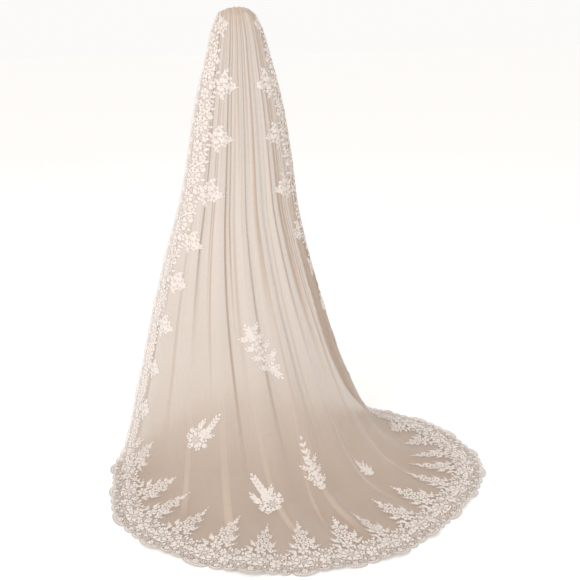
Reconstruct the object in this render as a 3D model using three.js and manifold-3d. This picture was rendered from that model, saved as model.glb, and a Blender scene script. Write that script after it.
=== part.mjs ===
// A long single-tier bridal veil with lace edges, in its worn form and open at the front.
// Millimetres, +Z up. The origin is the comb at the crown, the open front faces -Y, the train lies behind at +Y,
// and +X is the veil's own left as it is worn.
import * as THREE from 'three';
import { mergeVertices } from 'three/addons/utils/BufferGeometryUtils.js';
import Module from 'manifold-3d';

// Driving sizes
const FLOOR_Z = -1720;
const TULLE_WALL = 1.2;
const LACE_WALL = 1.0;
const SEAT_GAP = 0.3;

// Lace repeats along the border, and the mesh steps in each
const HEM_REPEATS = 17;
const HEM_STEPS = 8;
const SIDE_REPEATS = 10;
const SIDE_STEPS = 6;
const FIELD_COLUMNS = 38;
const FIELD_ROWS = 20;
const ROW_CROWDING = 1.25;
const CORNER_REPEATS = 1.8;
const SIDE_PULL = 2;
const EVENING_TURNS = 12;
const LEAST_LEAN = 0.5;
const FOLD_PRICE = 1e4;

// Widths of the lace trim from its outer edge inwards, on the hem
const LACE_MID = 52;
const LACE_WIDTH = 112;
const SPRAY_REACH = 150;
const FIELD_MARGIN = 34;
const FIELD_CLEARANCE = 1.12;
const TURN_SPAN = 0.4;
// How the hem's trim and sprays grow away from its corners: least share, and repeats where growth starts and ends
const CORNER_TRIM = [0.86, 0.5, 2.5];
const LEFT_SPRAYS = [0.72, 0.3, 2];
const RIGHT_SPRAYS = [0.3, 0.5, 4.5];

// The comb under the gathers
const COMB = { spread: 0.86, barHeight: 7.4, depth: 3.6, toothLength: 40, toothWidth: 2.8, toothTip: 1.4, teeth: 14 };

// Level sections of the hanging veil and rings of its train. along is the share of the middle length, from comb to
// hem; edge is at the front edges, back in the middle of the back; heights are above the floor.
const SECTION_NAMES = ['halfWidth', 'shift', 'edgeY', 'backY', 'edgeHeight', 'backHeight', 'square'];
const SECTIONS = [
  [0.000, 46, 0, 0, 16, 1724, 1724, 2],
  [0.018, 68, 0, 22, 62, 1708, 1741, 2],
  [0.040, 95, 0, 36, 100, 1657, 1696, 2],
  [0.070, 116, 0, 44, 122, 1580, 1615, 2],
  [0.105, 139, 0, 46, 134, 1500, 1518, 2],
  [0.140, 162, 0, 46, 146, 1415, 1420, 2],
  [0.185, 185, 0, 46, 158, 1295, 1295, 2],
  [0.235, 208, 0, 38, 166, 1155, 1155, 2],
  [0.285, 232, 0, 12, 174, 1015, 1015, 2],
  [0.345, 272, -2, -26, 208, 855, 855, 2],
  [0.410, 317, -5, -46, 264, 685, 685, 2],
  [0.475, 362, -10, -56, 338, 520, 520, 2.05],
  [0.540, 402, -15, -60, 420, 365, 365, 2.1],
  [0.600, 447, -22, -62, 502, 225, 225, 2.2],
  [0.660, 492, -30, -62, 588, 105, 100, 2.3],
  [0.715, 536, -40, -60, 672, 34, 28, 2.4],
  [0.780, 590, -52, -62, 780, 6, 4, 2.45],
  [0.890, 672, -74, -70, 940, 0, 0, 2.55],
  [1.000, 800, -95, -86, 1140, 0, 0, 2.6],
];

// Soft folds, ridges that run from the comb to the train. at is across the veil, from -1 at the right edge to 1 at
// the left, half is half a ridge's width on that scale, and the rest are its heights down the veil.
const FOLD_NAMES = ['at', 'half', 'crown', 'back', 'skirt', 'train'];
const FOLD_LEVELS = [0.0, 0.16, 0.45, 0.85];
const FOLDS = [
  [-0.80, 0.100, 1.0, 7, 13, 7],
  [-0.60, 0.100, 1.2, 8, 15, 8],
  [-0.41, 0.095, 1.2, 9, 17, 10],
  [-0.23, 0.090, 1.4, 9, 16, 10],
  [-0.06, 0.085, 1.4, 11, 22, 12],
  [0.12, 0.095, 1.4, 9, 15, 9],
  [0.34, 0.105, 1.2, 9, 18, 13],
  [0.56, 0.110, 1.0, 7, 13, 9],
  [0.78, 0.100, 0.8, 4, 9, 7],
];

// Where the hem's scallops join on the floor, from the left front corner round the train to the right one
const HEM_JOINTS = [
  [545, 75], [590, 250], [630, 430], [590, 630], [490, 790], [350, 930], [190, 1010], [20, 1045], [-150, 1055],
  [-310, 1005], [-450, 935], [-590, 845], [-715, 735], [-795, 590], [-810, 420], [-775, 245], [-690, 100],
  [-622, 35],
];

// How far each step of a repeat stands out from the line of its joints, and how far its inner edge reaches into a
// spray, as a share of the whole reach
const HEM_SCALLOP = [0, 13, 18, 13, 2, 10, 2, 10];
const HEM_SPRAY = [0.06, 0.02, 0.30, 1.00, 0.42, 0.10, 0.0, 0.04];
const SIDE_SCALLOP = [0, 9, 11, 1, 7, 1];
const SIDE_SPRAY = [0.0, 0.12, 0.45, 1.0, 0.30, 0.05];

// Eyelets cut in each repeat: the ring of the trim, the step, and the half of that step's patch
const HEM_EYELETS = [[0, 1, 0], [0, 5, 1], [1, 2, 1]];
const SIDE_EYELETS = [[0, 2, 0]];
const HOLE_SHARE = 0.45;

// Trim width and spray reach down a front edge, as shares of the hem's, from the comb to the floor
const TRIM_LEVELS = [0, 0.06, 0.14, 0.3, 0.6, 1];
const TRIM_SHARES = [[0.09, 0.02], [0.5, 0.12], [0.8, 0.28], [0.96, 0.36], [0.96, 0.42], [0.86, 0.3]];

// Loose lace sprays on the tulle, from tip to foot, in the across and along scales of the tables above
const SPRAY_NAMES = ['tipAcross', 'tipAlong', 'footAcross', 'footAlong', 'size'];
const LOOSE_SPRAYS = {
  spray_back: [0.155, 0.447, -0.02, 0.522, 1.0],
  spray_side: [0.36, 0.572, 0.52, 0.622, 0.8],
  spray_train: [0.235, 0.655, 0.165, 0.725, 0.9],
  spray_long: [-0.04, 0.612, -0.062, 0.705, 0.85],
  spray_small: [-0.30, 0.672, -0.345, 0.715, 0.6],
};
const SPRAY_HALF_WIDTHS = [3, 17, 10, 26, 14, 30, 8];
const PLACE_SCALE = 1e6;

const COLOURS = { tulle: 0xe9ddd0, lace: 0xf3ece2, comb: 0xd8d2c8 };

// Smooth value of a table's columns at a level, a monotone cubic between its rows
function readColumns(levels, rows, level) {
  const last = levels.length - 1;
  const x = Math.min(Math.max(level, levels[0]), levels[last]);
  let i = 0;
  while (i < last - 1 && x > levels[i + 1]) i += 1;
  const span = levels[i + 1] - levels[i];
  const t = (x - levels[i]) / span;
  return rows[0].map((_, column) => {
    const slope = (k) => (rows[k + 1][column] - rows[k][column]) / (levels[k + 1] - levels[k]);
    const tangent = (k) => {
      if (k === 0) return slope(0);
      if (k === last) return slope(last - 1);
      const before = slope(k - 1);
      const after = slope(k);
      return before * after > 0 ? (2 * before * after) / (before + after) : 0;
    };
    const start = rows[i][column];
    const end = rows[i + 1][column];
    const rise = end - start;
    const a = tangent(i) * span;
    const b = tangent(i + 1) * span;
    return start + t * (a + t * (3 * rise - 2 * a - b + t * (a + b - 2 * rise)));
  });
}

const SECTION_LEVELS = SECTIONS.map((row) => row[0]);
const SECTION_ROWS = SECTIONS.map((row) => row.slice(1));

function sectionAt(along) {
  const values = readColumns(SECTION_LEVELS, SECTION_ROWS, along);
  return Object.fromEntries(SECTION_NAMES.map((name, k) => [name, values[k]]));
}

// The veil's surface without folds: half a superellipse, open to the front
function smoothPoint(across, along) {
  const s = sectionAt(along);
  const angle = (across * Math.PI) / 2;
  const sine = Math.sin(angle);
  const cosine = Math.cos(angle);
  const radius = (Math.abs(sine) ** s.square + Math.abs(cosine) ** s.square) ** (-1 / s.square);
  return new THREE.Vector3(
    s.shift + s.halfWidth * radius * sine,
    s.edgeY + (s.backY - s.edgeY) * radius * cosine,
    FLOOR_Z + s.edgeHeight + (s.backHeight - s.edgeHeight) * cosine,
  );
}

// Slopes of a surface across and along, by small differences
function slopes(surface, across, along) {
  const step = 1e-3;
  const low = Math.max(along - step, 0);
  const high = Math.min(along + step, 1);
  const u = surface(across + step, along).sub(surface(across - step, along)).divideScalar(2 * step);
  const v = surface(across, high).sub(surface(across, low)).divideScalar(high - low);
  return { u, v };
}

function outwardNormal(surface, across, along) {
  const { u, v } = slopes(surface, across, along);
  return u.cross(v).normalize();
}

function foldHeight(across, along) {
  let height = 0;
  for (const row of FOLDS) {
    const fold = Object.fromEntries(FOLD_NAMES.map((name, k) => [name, row[k]]));
    const offset = Math.abs(across - fold.at) / fold.half;
    if (offset < 1) {
      const heights = [[fold.crown], [fold.back], [fold.skirt], [fold.train]];
      height += readColumns(FOLD_LEVELS, heights, along)[0] * (0.5 + 0.5 * Math.cos(Math.PI * offset));
    }
  }
  return height;
}

function foldedPoint(across, along) {
  const normal = outwardNormal(smoothPoint, across, along);
  return smoothPoint(across, along).addScaledVector(normal, foldHeight(across, along));
}

// Across and along of a point on the floor, found from a nearby guess by Newton steps
function onFloor(x, y, guess) {
  let [across, along] = guess;
  for (let turn = 0; turn < 25; turn += 1) {
    const here = smoothPoint(across, along);
    const { u, v } = slopes(smoothPoint, across, along);
    const det = u.x * v.y - u.y * v.x;
    const dx = x - here.x;
    const dy = y - here.y;
    across += (0.7 * (dx * v.y - dy * v.x)) / det;
    along += (0.7 * (dy * u.x - dx * u.y)) / det;
    along = Math.min(along, 0.999);
  }
  return [across, along];
}

// The border as a smooth line in the across and along scales: down the left edge, round the hem, up the right one
function makeBorder() {
  const sideLevels = [0, 0.15, 0.3, 0.45, 0.56];
  const joints = [];
  let guess = [0.96, 0.77];
  for (const [x, y] of HEM_JOINTS) {
    guess = onFloor(x, y, guess);
    joints.push(guess);
  }
  const points = [
    ...sideLevels.map((level) => [1, level]),
    ...joints,
    ...sideLevels.map((level) => [-1, level]).reverse(),
  ];
  const curve = new THREE.CatmullRomCurve3(points.map(([a, b]) => new THREE.Vector3(a, b, 0)), false, 'centripetal');
  const spans = points.length - 1;
  const start = sideLevels.length;
  const at = (place) => {
    const p = curve.getPoint(Math.min(Math.max(place / spans, 0), 1));
    return [THREE.MathUtils.clamp(p.x, -1, 1), Math.max(p.y, 0)];
  };
  return { at, start, end: start + HEM_REPEATS, spans };
}

// Places along the border at shares of the cloth's length between two of them
function evenPlaces(border, from, to, shares) {
  const samples = 400;
  const lengths = [0];
  const place = (k) => from + ((to - from) * k) / samples;
  let previous = smoothPoint(...border.at(from));
  for (let k = 1; k <= samples; k += 1) {
    const next = smoothPoint(...border.at(place(k)));
    lengths.push(lengths[k - 1] + next.distanceTo(previous));
    previous = next;
  }
  return shares.map((wantedShare) => {
    const wanted = lengths[samples] * wantedShare;
    let k = 1;
    while (k < samples && lengths[k] < wanted) k += 1;
    const share = (wanted - lengths[k - 1]) / (lengths[k] - lengths[k - 1]);
    return place(k - 1 + share);
  });
}

// One step square to the border or straight on, measured on the cloth
function metricStep(across, along, direction, distance) {
  const { u, v } = slopes(smoothPoint, across, along);
  const e = u.dot(u);
  const f = u.dot(v);
  const g = v.dot(v);
  const a = u.dot(direction);
  const b = v.dot(direction);
  const det = e * g - f * f;
  const du = (g * a - f * b) / det;
  const dv = (e * b - f * a) / det;
  const length = Math.sqrt(e * du * du + 2 * f * du * dv + g * dv * dv);
  const next = [across + (du * distance) / length, Math.max(along + (dv * distance) / length, 0)];
  return next;
}

// Inward direction at a place on the border, level near the comb and square to the border elsewhere
function inwardDirection(border, place) {
  const [across, along] = border.at(place);
  const ahead = border.at(place + TURN_SPAN);
  const behind = border.at(place - TURN_SPAN);
  const { u, v } = slopes(smoothPoint, across, along);
  const tangent = u.clone().multiplyScalar(ahead[0] - behind[0]);
  tangent.addScaledVector(v, ahead[1] - behind[1]);
  const square = outwardNormal(smoothPoint, across, along).cross(tangent).normalize();
  const level = u.clone().multiplyScalar(-Math.sign(across)).normalize();
  const share = THREE.MathUtils.smoothstep(along, 0.03, 0.2);
  return level.lerp(square, share).normalize();
}

function march(border, place, distance) {
  let [across, along] = border.at(place);
  const direction = inwardDirection(border, place);
  const steps = Math.max(1, Math.ceil(Math.abs(distance) / 30));
  for (let k = 0; k < steps; k += 1) {
    [across, along] = metricStep(across, along, direction, distance / steps);
    const normal = outwardNormal(smoothPoint, across, along);
    direction.addScaledVector(normal, -direction.dot(normal)).normalize();
  }
  return [across, place === 0 || place === border.spans ? 0 : along];
}

// Share of a full width at a number of repeats from a corner
function grownShare(repeats, [least, start, end]) {
  return least + (1 - least) * THREE.MathUtils.smoothstep(repeats, start, end);
}

// Stations of the border, each with its trim widths
function makeStations(border) {
  const steps = SIDE_REPEATS * SIDE_STEPS;
  const shares = Array.from({ length: steps + 1 }, (_, k) => k / steps);
  const left = evenPlaces(border, 0, border.start, shares);
  const right = evenPlaces(border, border.end, border.spans, shares);
  const stations = [];
  const addSide = (place, step, level) => {
    const [trim, reach] = readColumns(TRIM_LEVELS, TRIM_SHARES, level);
    stations.push({
      place,
      out: SIDE_SCALLOP[step % SIDE_STEPS] * trim,
      trim,
      reach,
      spray: SIDE_SPRAY[step % SIDE_STEPS],
    });
  };
  left.slice(0, -1).forEach((place, k) => addSide(place, k, k / (left.length - 1)));
  for (let k = 0; k <= HEM_REPEATS * HEM_STEPS; k += 1) {
    const fromLeft = k / HEM_STEPS;
    const fromRight = HEM_REPEATS - fromLeft;
    stations.push({
      place: border.start + fromLeft,
      out: HEM_SCALLOP[k % HEM_STEPS],
      trim: grownShare(Math.min(fromLeft, fromRight), CORNER_TRIM),
      reach: Math.min(grownShare(fromLeft, LEFT_SPRAYS), grownShare(fromRight, RIGHT_SPRAYS)),
      spray: HEM_SPRAY[k % HEM_STEPS],
    });
  }
  right.slice(1).forEach((place, k) => {
    addSide(place, (right.length - 2 - k) % SIDE_STEPS, 1 - (k + 1) / (right.length - 1));
  });
  return stations;
}

// The net of vertices of the cloth: three rings of trim along the border, then the inner field. Each vertex has its
// place in across and along, its point on the folded cloth, and the way out from the cloth below the folds.
function makeNet() {
  const border = makeBorder();
  const stations = makeStations(border);
  const net = { places: [], points: [], normals: [], triangles: [], stations };
  const addPlace = (place) => {
    net.points.push(foldedPoint(...place));
    net.normals.push(outwardNormal(smoothPoint, ...place));
    return net.places.push(place) - 1;
  };
  const addQuad = (a, b, c, d) => {
    const least = (pair) => Math.min(...pair.map((triangle) => leanOf(net, ...triangle)));
    const one = [[a, b, c], [a, c, d]];
    const other = [[a, b, d], [b, c, d]];
    net.triangles.push(...(least(one) > LEAST_LEAN || least(one) >= least(other) ? one : other));
  };
  const widths = [
    (s) => -s.out,
    (s) => LACE_MID * s.trim,
    (s) => LACE_WIDTH * s.trim + SPRAY_REACH * s.reach * s.spray,
  ];
  const rings = widths.map((width) => stations.map((s) => addPlace(march(border, s.place, width(s)))));
  for (let ring = 0; ring < 2; ring += 1) {
    for (let k = 0; k + 1 < stations.length; k += 1) {
      addQuad(rings[ring][k], rings[ring][k + 1], rings[ring + 1][k + 1], rings[ring + 1][k]);
    }
  }
  const edge = fieldEdge(border, stations);
  const grid = fieldGrid(edge).map((row) => row.map(addPlace));
  for (let j = 0; j < FIELD_ROWS; j += 1) {
    for (let i = 0; i < FIELD_COLUMNS; i += 1) {
      addQuad(grid[j][i], grid[j + 1][i], grid[j + 1][i + 1], grid[j][i + 1]);
    }
  }
  const rim = [
    ...grid.map((row) => row[0]),
    ...grid[FIELD_ROWS].slice(1, -1),
    ...grid.map((row) => row[FIELD_COLUMNS]).reverse(),
  ];
  stitch(net, rings[2], rim);
  return { ...net, rings };
}

// How far a triangle faces the way out from the cloth, 1 where it lies along the cloth and under 0 where it folds over
function leanOf({ points, normals }, a, b, c) {
  const face = points[b].clone().sub(points[a]).cross(points[c].clone().sub(points[a])).normalize();
  return Math.min(face.dot(normals[a]), face.dot(normals[b]), face.dot(normals[c]));
}

// Twice the area of a triangle in the across and along scales, over zero where its outer face shows
function turnOf(places, a, b, c) {
  const [[ax, ay], [bx, by], [cx, cy]] = [places[a], places[b], places[c]];
  return (bx - ax) * (cy - ay) - (cx - ax) * (by - ay);
}

// Joins two lines of vertices that run side by side, by the set of rungs with the least length and no fold
function stitch(net, outer, inner) {
  const price = (triangle, from, to) => {
    const lean = leanOf(net, ...triangle);
    const fold = lean > LEAST_LEAN ? 0 : FOLD_PRICE * (1 - lean);
    return fold + net.points[from].distanceTo(net.points[to]);
  };
  const best = outer.map(() => inner.map(() => ({ cost: Infinity })));
  best[0][0].cost = 0;
  outer.forEach((o, i) => inner.forEach((n, j) => {
    const options = [];
    if (i > 0) options.push({ back: [i - 1, j], triangle: [outer[i - 1], o, n] });
    if (j > 0) options.push({ back: [i, j - 1], triangle: [o, n, inner[j - 1]] });
    for (const option of options) {
      const cost = best[option.back[0]][option.back[1]].cost + price(option.triangle, o, n);
      if (cost < best[i][j].cost) best[i][j] = { ...option, cost };
    }
  }));
  let here = best[outer.length - 1][inner.length - 1];
  while (here.back) {
    net.triangles.push(here.triangle);
    here = best[here.back[0]][here.back[1]];
  }
}

// The four sides of the inner field, spaced along the border
function fieldEdge(border, stations) {
  const width = (s) => LACE_WIDTH * s.trim + SPRAY_REACH * s.reach * FIELD_CLEARANCE + FIELD_MARGIN * s.trim;
  const at = (place) => {
    let k = 0;
    while (k + 2 < stations.length && stations[k + 1].place < place) k += 1;
    const [a, b] = [stations[k], stations[k + 1]];
    const share = (place - a.place) / (b.place - a.place);
    const distance = THREE.MathUtils.lerp(width(a), width(b), share);
    return { place, point: march(border, place, distance) };
  };
  const corners = [border.start + CORNER_REPEATS, border.end - CORNER_REPEATS];
  const down = Array.from({ length: FIELD_ROWS + 1 }, (_, j) => (j / FIELD_ROWS) ** ROW_CROWDING);
  const across = Array.from({ length: FIELD_COLUMNS + 1 }, (_, i) => i / FIELD_COLUMNS);
  const left = evenPlaces(border, 0, corners[0], down).map(at);
  const right = evenPlaces(border, border.spans, corners[1], down).map(at);
  const bottom = evenPlaces(border, corners[0], corners[1], across).map(at);
  const top = across.map((share) => {
    const from = left[0].point[0];
    const to = right[0].point[0];
    return { point: [THREE.MathUtils.lerp(from, to, share), 0] };
  });
  return { left, right, bottom, top, down, across };
}

// Places inside four sides: straight from top to bottom, drawn to the sides near them, then evened out
function fieldGrid({ left, right, bottom, top, down, across }) {
  const mix = THREE.MathUtils.lerp;
  const pull = (side, end, j, k) => side[j].point[k] - mix(top[end].point[k], bottom[end].point[k], down[j]);
  const grid = down.map((t, j) => across.map((s, i) => [0, 1].map((k) => {
    const fromLeft = pull(left, 0, j, k) * (1 - s) ** SIDE_PULL;
    const fromRight = pull(right, FIELD_COLUMNS, j, k) * s ** SIDE_PULL;
    return mix(top[i].point[k], bottom[i].point[k], t) + fromLeft + fromRight;
  })));
  for (let turn = 0; turn < EVENING_TURNS; turn += 1) {
    for (let j = 1; j < FIELD_ROWS; j += 1) {
      for (let i = 1; i < FIELD_COLUMNS; i += 1) {
        grid[j][i] = grid[j][i].map((value, k) => {
          const beside = grid[j][i - 1][k] + grid[j][i + 1][k];
          const above = grid[j - 1][i][k] + grid[j + 1][i][k];
          return k === 0 ? mix(value, beside / 2, 0.5) : mix(value, mix(beside, above, 0.3) / 2, 0.5);
        });
      }
    }
  }
  return grid;
}

// A closed wall over some triangles of the net, between two heights above the cloth
function makeWall(sheet, triangles, low, high) {
  const positions = [];
  const index = [];
  const numbers = new Map();
  const numberOf = (k) => {
    if (!numbers.has(k)) {
      numbers.set(k, numbers.size);
      for (const height of [low, high]) {
        const point = sheet.points[k].clone().addScaledVector(sheet.normals[k], height);
        positions.push(point.x, point.y, point.z);
      }
    }
    return 2 * numbers.get(k);
  };
  const open = new Map();
  for (const triangle of triangles) {
    const [a, b, c] = triangle.map(numberOf);
    index.push(a + 1, b + 1, c + 1, a, c, b);
    for (const [from, to] of [[a, b], [b, c], [c, a]]) {
      if (!open.delete(`${to},${from}`)) open.set(`${from},${to}`, [from, to]);
    }
  }
  for (const [from, to] of open.values()) index.push(from, to, to + 1, from, to + 1, from + 1);
  const geometry = new THREE.BufferGeometry();
  geometry.setAttribute('position', new THREE.Float32BufferAttribute(positions, 3));
  geometry.setIndex(index);
  geometry.computeVertexNormals();
  return geometry;
}

// A triangle with a smaller one cut out of its middle, as six triangles
function pierce(net, triangle) {
  const add = (list) => {
    const middle = new THREE.Vector3();
    triangle.forEach((k) => middle.addScaledVector(list[k], 1 / 3));
    return triangle.map((k) => list.push(middle.clone().lerp(list[k], HOLE_SHARE)) - 1);
  };
  const inner = add(net.points);
  add(net.normals);
  return triangle.flatMap((a, k) => {
    const next = (k + 1) % 3;
    return [[a, triangle[next], inner[next]], [a, inner[next], inner[k]]];
  });
}

// The triangles of the trim between two stations, with its eyelets cut through
function trimTriangles(net, from, to, steps, eyelets) {
  const count = net.stations.length - 1;
  const result = [];
  for (let ring = 0; ring < 2; ring += 1) {
    for (let k = from; k < to; k += 1) {
      for (let half = 0; half < 2; half += 1) {
        const triangle = net.triangles[2 * (ring * count + k) + half];
        const open = eyelets.some(([r, step, h]) => r === ring && h === half && (k - from) % steps === step);
        result.push(...(open ? pierce(net, triangle) : [triangle]));
      }
    }
  }
  return result;
}

// Draws the ends of a strip of trim back from its neighbours by the seat gap
function drawBackEnds(net, triangles, from, to) {
  const moved = new Map();
  for (const ring of net.rings) {
    for (const [end, next] of [[ring[from], ring[from + 1]], [ring[to], ring[to - 1]]]) {
      const share = SEAT_GAP / net.points[end].distanceTo(net.points[next]);
      net.points.push(net.points[end].clone().lerp(net.points[next], share));
      net.normals.push(net.normals[end].clone().lerp(net.normals[next], share));
      moved.set(end, net.points.length - 1);
    }
  }
  return triangles.map((triangle) => triangle.map((k) => moved.get(k) ?? k));
}

// The point of the meshed cloth's outer face at a place in one of its triangles, with its way out
function onCloth(net, [a, b, c], [across, along]) {
  const [[ax, ay], [bx, by], [cx, cy]] = [net.places[a], net.places[b], net.places[c]];
  const whole = turnOf(net.places, a, b, c);
  const shareB = ((across - ax) * (cy - ay) - (cx - ax) * (along - ay)) / whole;
  const shareC = ((bx - ax) * (along - ay) - (across - ax) * (by - ay)) / whole;
  const blend = (list) => new THREE.Vector3()
    .addScaledVector(list[a], 1 - shareB - shareC)
    .addScaledVector(list[b], shareB)
    .addScaledVector(list[c], shareC);
  const normal = blend(net.normals);
  return { point: blend(net.points).addScaledVector(normal, TULLE_WALL), normal };
}

// The part of a convex outline that lies in a triangle, both in the across and along scales
function clipToTriangle(outline, corners) {
  let shape = outline;
  corners.forEach(([ax, ay], k) => {
    const [bx, by] = corners[(k + 1) % 3];
    const inside = ([x, y]) => (bx - ax) * (y - ay) - (by - ay) * (x - ax);
    const kept = [];
    shape.forEach((here, n) => {
      const next = shape[(n + 1) % shape.length];
      const [d, e] = [inside(here), inside(next)];
      if (d >= 0) kept.push(here);
      if (d * e < 0) kept.push(here.map((value, axis) => value + ((next[axis] - value) * d) / (d - e)));
    });
    shape = kept;
  });
  return shape;
}

// The outline of a loose spray, leaves either side of a stem, as convex patches from tip to foot
function sprayPatches({ tipAcross, tipAlong, footAcross, footAlong, size }) {
  const last = SPRAY_HALF_WIDTHS.length - 1;
  const sides = SPRAY_HALF_WIDTHS.map((half, k) => {
    const across = THREE.MathUtils.lerp(tipAcross, footAcross, k / last);
    const along = THREE.MathUtils.lerp(tipAlong, footAlong, k / last);
    const { u, v } = slopes(smoothPoint, across, along);
    const stem = u.multiplyScalar(footAcross - tipAcross).addScaledVector(v, footAlong - tipAlong);
    const side = outwardNormal(smoothPoint, across, along).cross(stem).normalize();
    return [1, -1].map((sign) => metricStep(across, along, side.clone().multiplyScalar(sign), half * size));
  });
  return sides.slice(1).map(([left, right], k) => [sides[k][0], sides[k][1], right, left]);
}

// A loose spray, cut along the creases of the cloth that it lies on
function makeSpray(net, row) {
  const spray = { points: [], normals: [] };
  const numbers = new Map();
  const numberOf = (place, corners) => {
    const key = place.map((value) => Math.round(value * PLACE_SCALE)).join();
    if (!numbers.has(key)) {
      const { point, normal } = onCloth(net, corners, place);
      numbers.set(key, spray.points.push(point) - 1);
      spray.normals.push(normal);
    }
    return numbers.get(key);
  };
  const triangles = [];
  for (const patch of sprayPatches(row)) {
    for (const corners of net.triangles) {
      const shape = clipToTriangle(patch, corners.map((k) => net.places[k]));
      const ring = shape.map((place) => numberOf(place, corners)).filter((k, n, all) => k !== all[(n + 1) % all.length]);
      for (let n = 1; n + 1 < ring.length; n += 1) triangles.push([ring[0], ring[n], ring[n + 1]]);
    }
  }
  return makeWall(spray, triangles, SEAT_GAP, SEAT_GAP + LACE_WALL);
}

// A closed geometry as a solid that can be joined
function toSolid(wasm, geometry) {
  geometry.deleteAttribute('normal');
  geometry.deleteAttribute('uv');
  const merged = mergeVertices(geometry, 1e-4);
  const mesh = new wasm.Mesh({
    numProp: 3,
    vertProperties: new Float32Array(merged.attributes.position.array),
    triVerts: new Uint32Array(merged.index.array),
  });
  return new wasm.Manifold(mesh);
}

// The comb: a bar bent to the line of the gathers, just under it, with straight teeth
function makeComb(wasm) {
  const bends = 10;
  const spread = (k, count) => -COMB.spread + (2 * COMB.spread * k) / count;
  const at = (across, inset) => {
    const point = smoothPoint(across, 0);
    const { u } = slopes(smoothPoint, across, 0);
    const inward = new THREE.Vector3(u.y, -u.x, 0).normalize();
    return new THREE.Vector2(point.x, point.y).addScaledVector(new THREE.Vector2(inward.x, inward.y), inset);
  };
  const outline = new THREE.Shape([
    ...Array.from({ length: bends + 1 }, (_, k) => at(spread(k, bends), SEAT_GAP)),
    ...Array.from({ length: bends + 1 }, (_, k) => at(spread(bends - k, bends), SEAT_GAP + COMB.depth)),
  ]);
  const top = smoothPoint(0, 0).z - SEAT_GAP;
  const bar = new THREE.ExtrudeGeometry(outline, { depth: COMB.barHeight, bevelEnabled: false });
  bar.translate(0, 0, top - COMB.barHeight);
  let solid = toSolid(wasm, bar);
  for (let k = 0; k < COMB.teeth; k += 1) {
    const across = spread(k + 0.5, COMB.teeth);
    const middle = at(across, SEAT_GAP + COMB.depth / 2);
    const tooth = new THREE.CylinderGeometry(COMB.toothWidth / 2, COMB.toothTip / 2, COMB.toothLength, 6);
    tooth.rotateX(Math.PI / 2);
    tooth.translate(middle.x, middle.y, top - COMB.barHeight / 2 - COMB.toothLength / 2);
    solid = solid.add(toSolid(wasm, tooth));
  }
  const { vertProperties, triVerts } = solid.getMesh();
  const geometry = new THREE.BufferGeometry();
  geometry.setAttribute('position', new THREE.Float32BufferAttribute(vertProperties, 3));
  geometry.setIndex([...triVerts]);
  geometry.computeVertexNormals();
  return geometry;
}

const group = new THREE.Group();

function addMesh(name, geometry, color, roughness) {
  const material = new THREE.MeshStandardMaterial({ color, roughness, metalness: 0, side: THREE.DoubleSide });
  const mesh = new THREE.Mesh(geometry, material);
  mesh.name = name;
  group.add(mesh);
}

const wasm = await Module();
wasm.setup();

const net = makeNet();
addMesh('comb', makeComb(wasm), COLOURS.comb, 0.35);
addMesh('tulle', makeWall(net, net.triangles, 0, TULLE_WALL), COLOURS.tulle, 0.8);

// The lace trim in three lengths that meet at the front corners
const corner = SIDE_REPEATS * SIDE_STEPS;
const farCorner = corner + HEM_REPEATS * HEM_STEPS;
const farEnd = farCorner + corner;
const TRIM_LOW = TULLE_WALL + SEAT_GAP;
const trims = {
  lace_left_edge: trimTriangles(net, 0, corner, SIDE_STEPS, SIDE_EYELETS),
  lace_hem: drawBackEnds(
    net, trimTriangles(net, corner, farCorner, HEM_STEPS, HEM_EYELETS), corner, farCorner,
  ),
  lace_right_edge: trimTriangles(net, farCorner, farEnd, SIDE_STEPS, SIDE_EYELETS),
};
for (const [name, triangles] of Object.entries(trims)) {
  addMesh(name, makeWall(net, triangles, TRIM_LOW, TRIM_LOW + LACE_WALL), COLOURS.lace, 0.7);
}

for (const [name, row] of Object.entries(LOOSE_SPRAYS)) {
  const spray = Object.fromEntries(SPRAY_NAMES.map((column, k) => [column, row[k]]));
  addMesh(name, makeSpray(net, spray), COLOURS.lace, 0.7);
}

export default group;
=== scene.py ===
"""The looks of a long lace-edged bridal veil in its worn form.

The veil hangs from a comb at the crown, falls in soft pleats and spreads on the floor as a train. Its net
is one sheet, and the corded lace of its edges and its loose sprays is drawn flat, one repeat at a time,
and laid on it. Row frame: +Z up, -Y the open front, +X the veil's own left. Lengths are in millimetres
until a mesh is made.
"""
import logging
import math
from dataclasses import dataclass, field
from enum import Enum
from typing import Callable, Iterable, Sequence

import bmesh
import bpy
import numpy as np
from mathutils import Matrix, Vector
from mathutils.kdtree import KDTree


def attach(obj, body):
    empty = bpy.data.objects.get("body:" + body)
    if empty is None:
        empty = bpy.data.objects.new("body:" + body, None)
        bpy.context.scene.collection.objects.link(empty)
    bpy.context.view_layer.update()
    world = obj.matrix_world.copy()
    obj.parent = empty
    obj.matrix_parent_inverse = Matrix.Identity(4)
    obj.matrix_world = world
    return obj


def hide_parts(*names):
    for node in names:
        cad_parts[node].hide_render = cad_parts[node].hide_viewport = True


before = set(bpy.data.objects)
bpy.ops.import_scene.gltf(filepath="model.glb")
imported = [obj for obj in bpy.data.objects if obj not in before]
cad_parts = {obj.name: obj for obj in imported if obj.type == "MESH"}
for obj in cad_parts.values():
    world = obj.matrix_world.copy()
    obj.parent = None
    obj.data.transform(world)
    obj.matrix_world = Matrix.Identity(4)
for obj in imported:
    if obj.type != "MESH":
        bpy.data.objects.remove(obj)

log = logging.getLogger("veil")
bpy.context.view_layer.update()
BODY = "root"
MILLIMETRE = 0.001
FLOOR_Z = -1720.0
CLOTH_WIDTH = 1700.0
CLOTH_LENGTH = 3000.0
UV_NAME = "UVMap"
Point = tuple[float, float]
Colour = tuple[float, float, float]

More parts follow.
